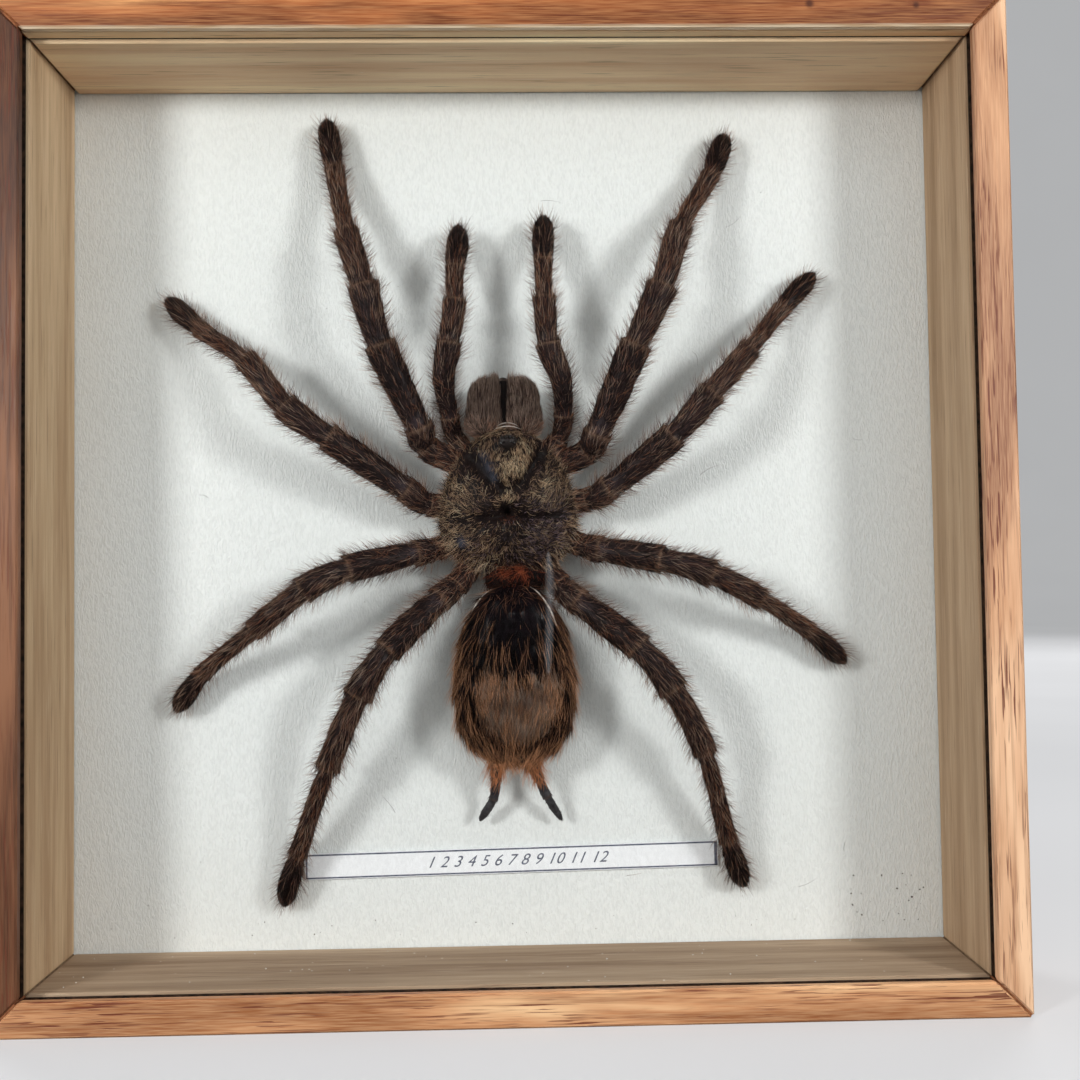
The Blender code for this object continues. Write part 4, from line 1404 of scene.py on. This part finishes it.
def rebates():
    """A dark strip of painted shadow all round behind the lip, standing for the shade in the gap there, and a
    raw packing strip above it at the top, painted paler than raw wood as painted light.
    """
    outer, rear = HALF_OPENING + 1.6 * MM, LINER_FRONT - 0.06 * MM
    gap, packing = bmesh.new(), bmesh.new()
    # Painted shadow: these near-black strips stand for the shade in the gap behind the lip, and reach further
    # in at the top.
    for side in ("bottom", "left", "right"):
        mitred_strip(gap, side, HALF_OPENING + 0.5 * MM, outer, rear - 0.08 * MM, rear)
    mitred_strip(gap, "top", HALF_OPENING + 0.05 * MM, outer, rear - 0.3 * MM, rear)
    dark = speck_material("rebate_painted_shadow", paint(24, 17, 12), paint(66, 48, 36))
    finished("rebate_painted_shadow", outward(gap), dark, "liner_wood", False)
    mitred_strip(packing, "top", HALF_OPENING + 0.03 * MM, outer, GLASS_Y - 0.25 * MM, rear - 0.35 * MM)
    # Painted light: the packing is raw wood, made paler and warmer than it is because it lies in shade under
    # the top lip.
    raw = liner_wood("raw_packing_painted_light", "X", paint(240, 190, 138), paint(255, 230, 186))
    finished("rebate_packing", outward(packing), raw, "liner_wood", False)


def mitres():
    """Glue and dirt that fill the joints at the corners."""
    rails, liners = bmesh.new(), bmesh.new()
    start, edge, inner = HALF_OPENING + 0.3 * MM, cad_high.x - 0.4 * MM, HALF_OPENING + 0.05 * MM
    for hand in (-1, 1):
        for up in (-1, 1):
            mitre_plate(rails, hand, up, start, edge, FRONT_Y + 0.16 * MM, cad_high.y - 0.2 * MM)
            mitre_plate(liners, hand, up, inner, HALF_OPENING + 1.9 * MM, LINER_FRONT, BOARD_Y - 0.3 * MM)
    rail_joint = speck_material("rail_joint", paint(96, 54, 32), paint(146, 92, 60))
    finished("rail_mitres", outward(rails), rail_joint, "liner_wood", False)
    liner_joint = speck_material("liner_joint", paint(92, 72, 54), paint(134, 110, 86))
    finished("liner_mitres", outward(liners), liner_joint, "liner_wood", False)


LABEL_MIDDLE = (0.2, -60.4)
LABEL_SIZE = (71.4, 4.4)
LABEL_TURN = math.radians(0.9)
LABEL_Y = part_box("label")[0][1]


def on_label(along, up):
    """A point just above the label's paper, in millimetres from its middle."""
    x = LABEL_MIDDLE[0] + along * math.cos(LABEL_TURN) - up * math.sin(LABEL_TURN)
    z = LABEL_MIDDLE[1] + along * math.sin(LABEL_TURN) + up * math.cos(LABEL_TURN)
    return (x * MM, LABEL_Y - 0.02 * MM, MIDDLE_Z + z * MM)


def label_print():
    """A ruled border and a row of plain numbers in the middle."""
    text = bpy.data.curves.new("numbers", "FONT")
    text.body = "1 2 3 4 5 6 7 8 9 10 11 12"
    text.size = 2.7
    text.shear = 0.45
    text.space_character = 1.08
    text.align_x = "CENTER"
    text.align_y = "CENTER"
    holder = bpy.data.objects.new("numbers", text)
    bpy.context.scene.collection.objects.link(holder)
    bpy.context.view_layer.update()
    mesh = bpy.data.meshes.new_from_object(holder.evaluated_get(bpy.context.evaluated_depsgraph_get()))
    bpy.data.objects.remove(holder)
    bm = bmesh.new()
    bm.from_mesh(mesh)
    for vertex in bm.verts:
        vertex.co = on_label(0.7 + vertex.co.x, vertex.co.y)
    half_length, half_height, line = LABEL_SIZE[0] / 2 - 0.12, LABEL_SIZE[1] / 2 - 0.12, 0.27
    strips = (
        (-half_length, half_height - line, half_length, half_height),
        (-half_length, -half_height, half_length, line - half_height),
        (-half_length, -half_height, line - half_length, half_height),
        (half_length - 2 * line, -half_height, half_length, half_height),
    )
    for left, low, right, high in strips:
        corners = ((left, low), (right, low), (right, high), (left, high))
        bm.faces.new([bm.verts.new(on_label(*corner)) for corner in corners])
    return finished("label_print", bm, ink(), "paper", False)


def smear():
    """A faint, soft upright streak on the inside of the glass, right of the abdomen."""
    bm = bmesh.new()
    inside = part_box("glass")[1][1] + 0.05 * MM
    for layer, reach in enumerate((0.78, 0.5, 0.26)):
        rows = []
        for step in range(41):
            t = step / 40
            width = reach * MM * (math.sin(math.pi * t) ** 0.35) * (1 + 0.12 * math.sin(9 * t + layer))
            x = (6.55 + 0.2 * math.sin(5 * t)) * MM
            y = inside + layer * 0.03 * MM
            z = MIDDLE_Z + (-7.5 - 19.5 * t) * MM
            rows.append((bm.verts.new((x - width, y, z)), bm.verts.new((x + width, y, z))))
        for upper, lower in zip(rows, rows[1:]):
            bm.faces.new((upper[0], lower[0], lower[1], upper[1]))
    film = Finish("smear_film", Roughness=0.6, Specular_IOR_Level=0.1, Alpha=0.032)
    cloud = film.noise(film.place((900, 900, 200)), 1.0, 2.0)
    film.wear(film.ramp(cloud, ((0.3, paint(196, 198, 204)), (0.7, paint(246, 246, 250)))))
    finished("glass_smear", bm, film.material, "clear_glass", False).visible_shadow = False


def crumbs(places):
    """Tiny broken bits, each at (x, y, z, size) in metres."""
    rng = np.random.default_rng(SEED + 90)
    bm = bmesh.new()
    for x, y, z, size in places:
        made = bmesh.ops.create_icosphere(bm, subdivisions=1, radius=size)
        for vertex in made["verts"]:
            vertex.co *= rng.uniform(0.6, 1.2)
            vertex.co += Vector((x, y, z))
    return bm


def scatter(count, low, high, size, seed):
    """Random places between two corners, given in metres, with sizes in millimetres."""
    rng = np.random.default_rng(SEED + seed)
    places = rng.uniform(low, high, (count, 3))
    sizes = rng.uniform(*size, (count, 1)) * MM
    return np.hstack([places, sizes]).tolist()


def board_crumbs():
    """Dark bits fallen into the lower right corner and along the bottom, and a few elsewhere."""
    right, floor_z, surface = HALF_OPENING - 3 * MM, MIDDLE_Z - HALF_OPENING, BOARD_Y - 0.04 * MM
    zones = (
        (26, right - 13 * MM, 2, 11, (0.06, 0.17), 91),
        (22, -right, 2, 5, (0.05, 0.12), 92),
        (26, -right, 6, 140, (0.04, 0.09), 93),
    )
    places = []
    for count, left, low, high, size, seed in zones:
        start, end = (left, surface, floor_z + low * MM), (right, surface, floor_z + high * MM)
        places += scatter(count, start, end, size, seed)
    return places


def liner_dust():
    """White dust lying on the bottom liner, and a few flecks that hang on the top one."""
    reach, front, rear = HALF_OPENING - 1 * MM, FRONT_Y + 5 * MM, BOARD_Y - 1 * MM
    floor_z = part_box("liner_bottom")[1][2]
    roof_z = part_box("liner_top")[0][2]
    lying = scatter(46, (-reach, front, floor_z), (reach, rear, floor_z + 0.03 * MM), (0.05, 0.14), 94)
    hanging = scatter(10, (-reach, front, roof_z - 0.02 * MM), (reach, rear, roof_z), (0.04, 0.09), 95)
    return lying + hanging


def fibres():
    """Loose fine hairs and threads that lie on the board."""
    rng = np.random.default_rng(SEED + 96)
    places = (
        (6.6, 55.0), (34.0, 6.0), (33.0, 28.0), (-52.0, 3.0), (-44.0, -20.0), (50.0, -66.0),
        (58.0, -60.0), (-61.0, 40.0), (20.0, -63.5), (-20.0, -52.0), (63.0, 12.0), (42.0, 52.0),
    )
    roots = np.array([on_board(x, z, 0.06) for x, z in places])
    normals = np.tile((0.0, -1.0, 0.0), (len(roots), 1))
    turns = rng.uniform(0, 2 * math.pi, len(roots))
    combs = np.stack([np.cos(turns), np.zeros_like(turns), np.sin(turns)], -1)
    kind = hair(len(places), None, (1.8, 4.5), (0.5, 2.0), 0.06, (0.05, 0.6), sway=0.3, rows=5, curl=0.8)
    mesh = fur_mesh("loose_fibres", [(roots, normals, combs, kind, rng)])
    return show("loose_fibres", mesh, leg_fur, "leg_skin")


rebates()
mitres()
label_print()
smear()
dark_crumb = speck_material("dark_crumb", paint(38, 28, 22), paint(84, 66, 52))
white_dust = speck_material("white_dust", paint(206, 200, 190), paint(244, 242, 236))
finished("board_crumbs", crumbs(board_crumbs()), dark_crumb, "leg_skin", False)
finished("liner_dust", crumbs(liner_dust()), white_dust, "white_card", False)
fibres()

# ---------------------------------------------------------------- light, floor and camera


def area_light(name, place, size, energy):
    """A round light that looks at the middle of the board."""
    data = bpy.data.lights.new(name, "AREA")
    data.shape = "DISK"
    data.size = size
    data.energy = energy
    light = bpy.data.objects.new(name, data)
    light.location = place
    sight = Vector((0, BOARD_Y, MIDDLE_Z)) - Vector(place)
    light.rotation_euler = sight.to_track_quat("-Z", "Y").to_euler()
    bpy.context.scene.collection.objects.link(light)
    return light


def studio_floor():
    """A pale, faintly self-lit floor that curves up all round and throws no light on the object."""
    finish = Finish("studio_floor", Roughness=0.8, Specular_IOR_Level=0.0)
    finish.shader.inputs["Emission Color"].default_value = (0.98, 0.99, 1.0, 1.0)
    finish.shader.inputs["Emission Strength"].default_value = 0.36
    cloud = finish.noise(finish.place((6, 6, 6)), 1.0, 2.0)
    finish.wear(finish.ramp(cloud, ((0.3, paint(176, 176, 178)), (0.7, paint(184, 184, 186)))))
    radius, bend, height = 1.6, 0.7, 1.6
    profile = [(0.0, 0.0), (radius, 0.0)]
    for turn in np.linspace(0, math.pi / 2, 13)[1:]:
        profile.append((radius + bend * math.sin(turn), bend * (1 - math.cos(turn))))
    profile.append((radius + bend, height))
    bm = bmesh.new()
    line = [bm.verts.new((x, 0.0, z)) for x, z in profile]
    edges = [bm.edges.new(pair) for pair in zip(line, line[1:])]
    turn = {"axis": (0, 0, 1), "cent": (0, 0, 0), "steps": 64, "angle": 2 * math.pi}
    bmesh.ops.spin(bm, geom=edges, use_merge=True, **turn)
    bmesh.ops.remove_doubles(bm, verts=bm.verts, dist=0.0001)
    mesh = bpy.data.meshes.new("floor")
    bm.to_mesh(mesh)
    bm.free()
    mesh.shade_smooth()
    mesh.materials.append(finish.material)
    floor = bpy.data.objects.new("floor", mesh)
    bpy.context.scene.collection.objects.link(floor)
    floor.visible_diffuse = False
    floor.visible_glossy = False


def studio_lights():
    """Two soft lights near the front, as in the photo, a dim top light, and broad fills."""
    area_light("left_soft", (-0.30, -0.32, 0.17), 0.09, 1.03)
    area_light("right_soft", (0.31, -0.32, 0.18), 0.09, 1.01)
    area_light("top_soft", (0.0, -0.25, 0.75), 0.4, 0.4)
    area_light("front_fill", (0.0, -1.3, 0.35), 1.6, 6.2).visible_glossy = False
    area_light("back_left_soft", (-0.6, 0.7, 0.5), 0.5, 4.0)
    area_light("back_right_soft", (0.6, 0.8, 0.6), 0.5, 4.0)


def studio_world():
    """A dim grey world that is brighter where the camera sees it."""
    world = bpy.data.worlds.new("studio")
    world.use_nodes = True
    tree = world.node_tree
    shown = tree.nodes.new("ShaderNodeLightPath")
    colour = tree.nodes.new("ShaderNodeMix")
    colour.data_type = "RGBA"
    colour.inputs[6].default_value = (0.13, 0.135, 0.14, 1)
    colour.inputs[7].default_value = (0.55, 0.56, 0.57, 1)
    tree.links.new(shown.outputs["Is Camera Ray"], colour.inputs[0])
    tree.links.new(colour.outputs[2], tree.nodes["Background"].inputs["Color"])
    bpy.context.scene.world = world


def camera():
    data = bpy.data.cameras.new("camera")
    data.angle = math.radians(CAMERA_ANGLE)
    data.clip_start = 0.01
    eye = bpy.data.objects.new("camera", data)
    eye.location = CAMERA_PLACE
    eye.rotation_euler = [math.radians(a) for a in CAMERA_TURN]
    bpy.context.scene.collection.objects.link(eye)
    bpy.context.scene.camera = eye


studio_floor()
studio_lights()
studio_world()
camera()
bpy.context.scene.view_settings.view_transform = "Standard"
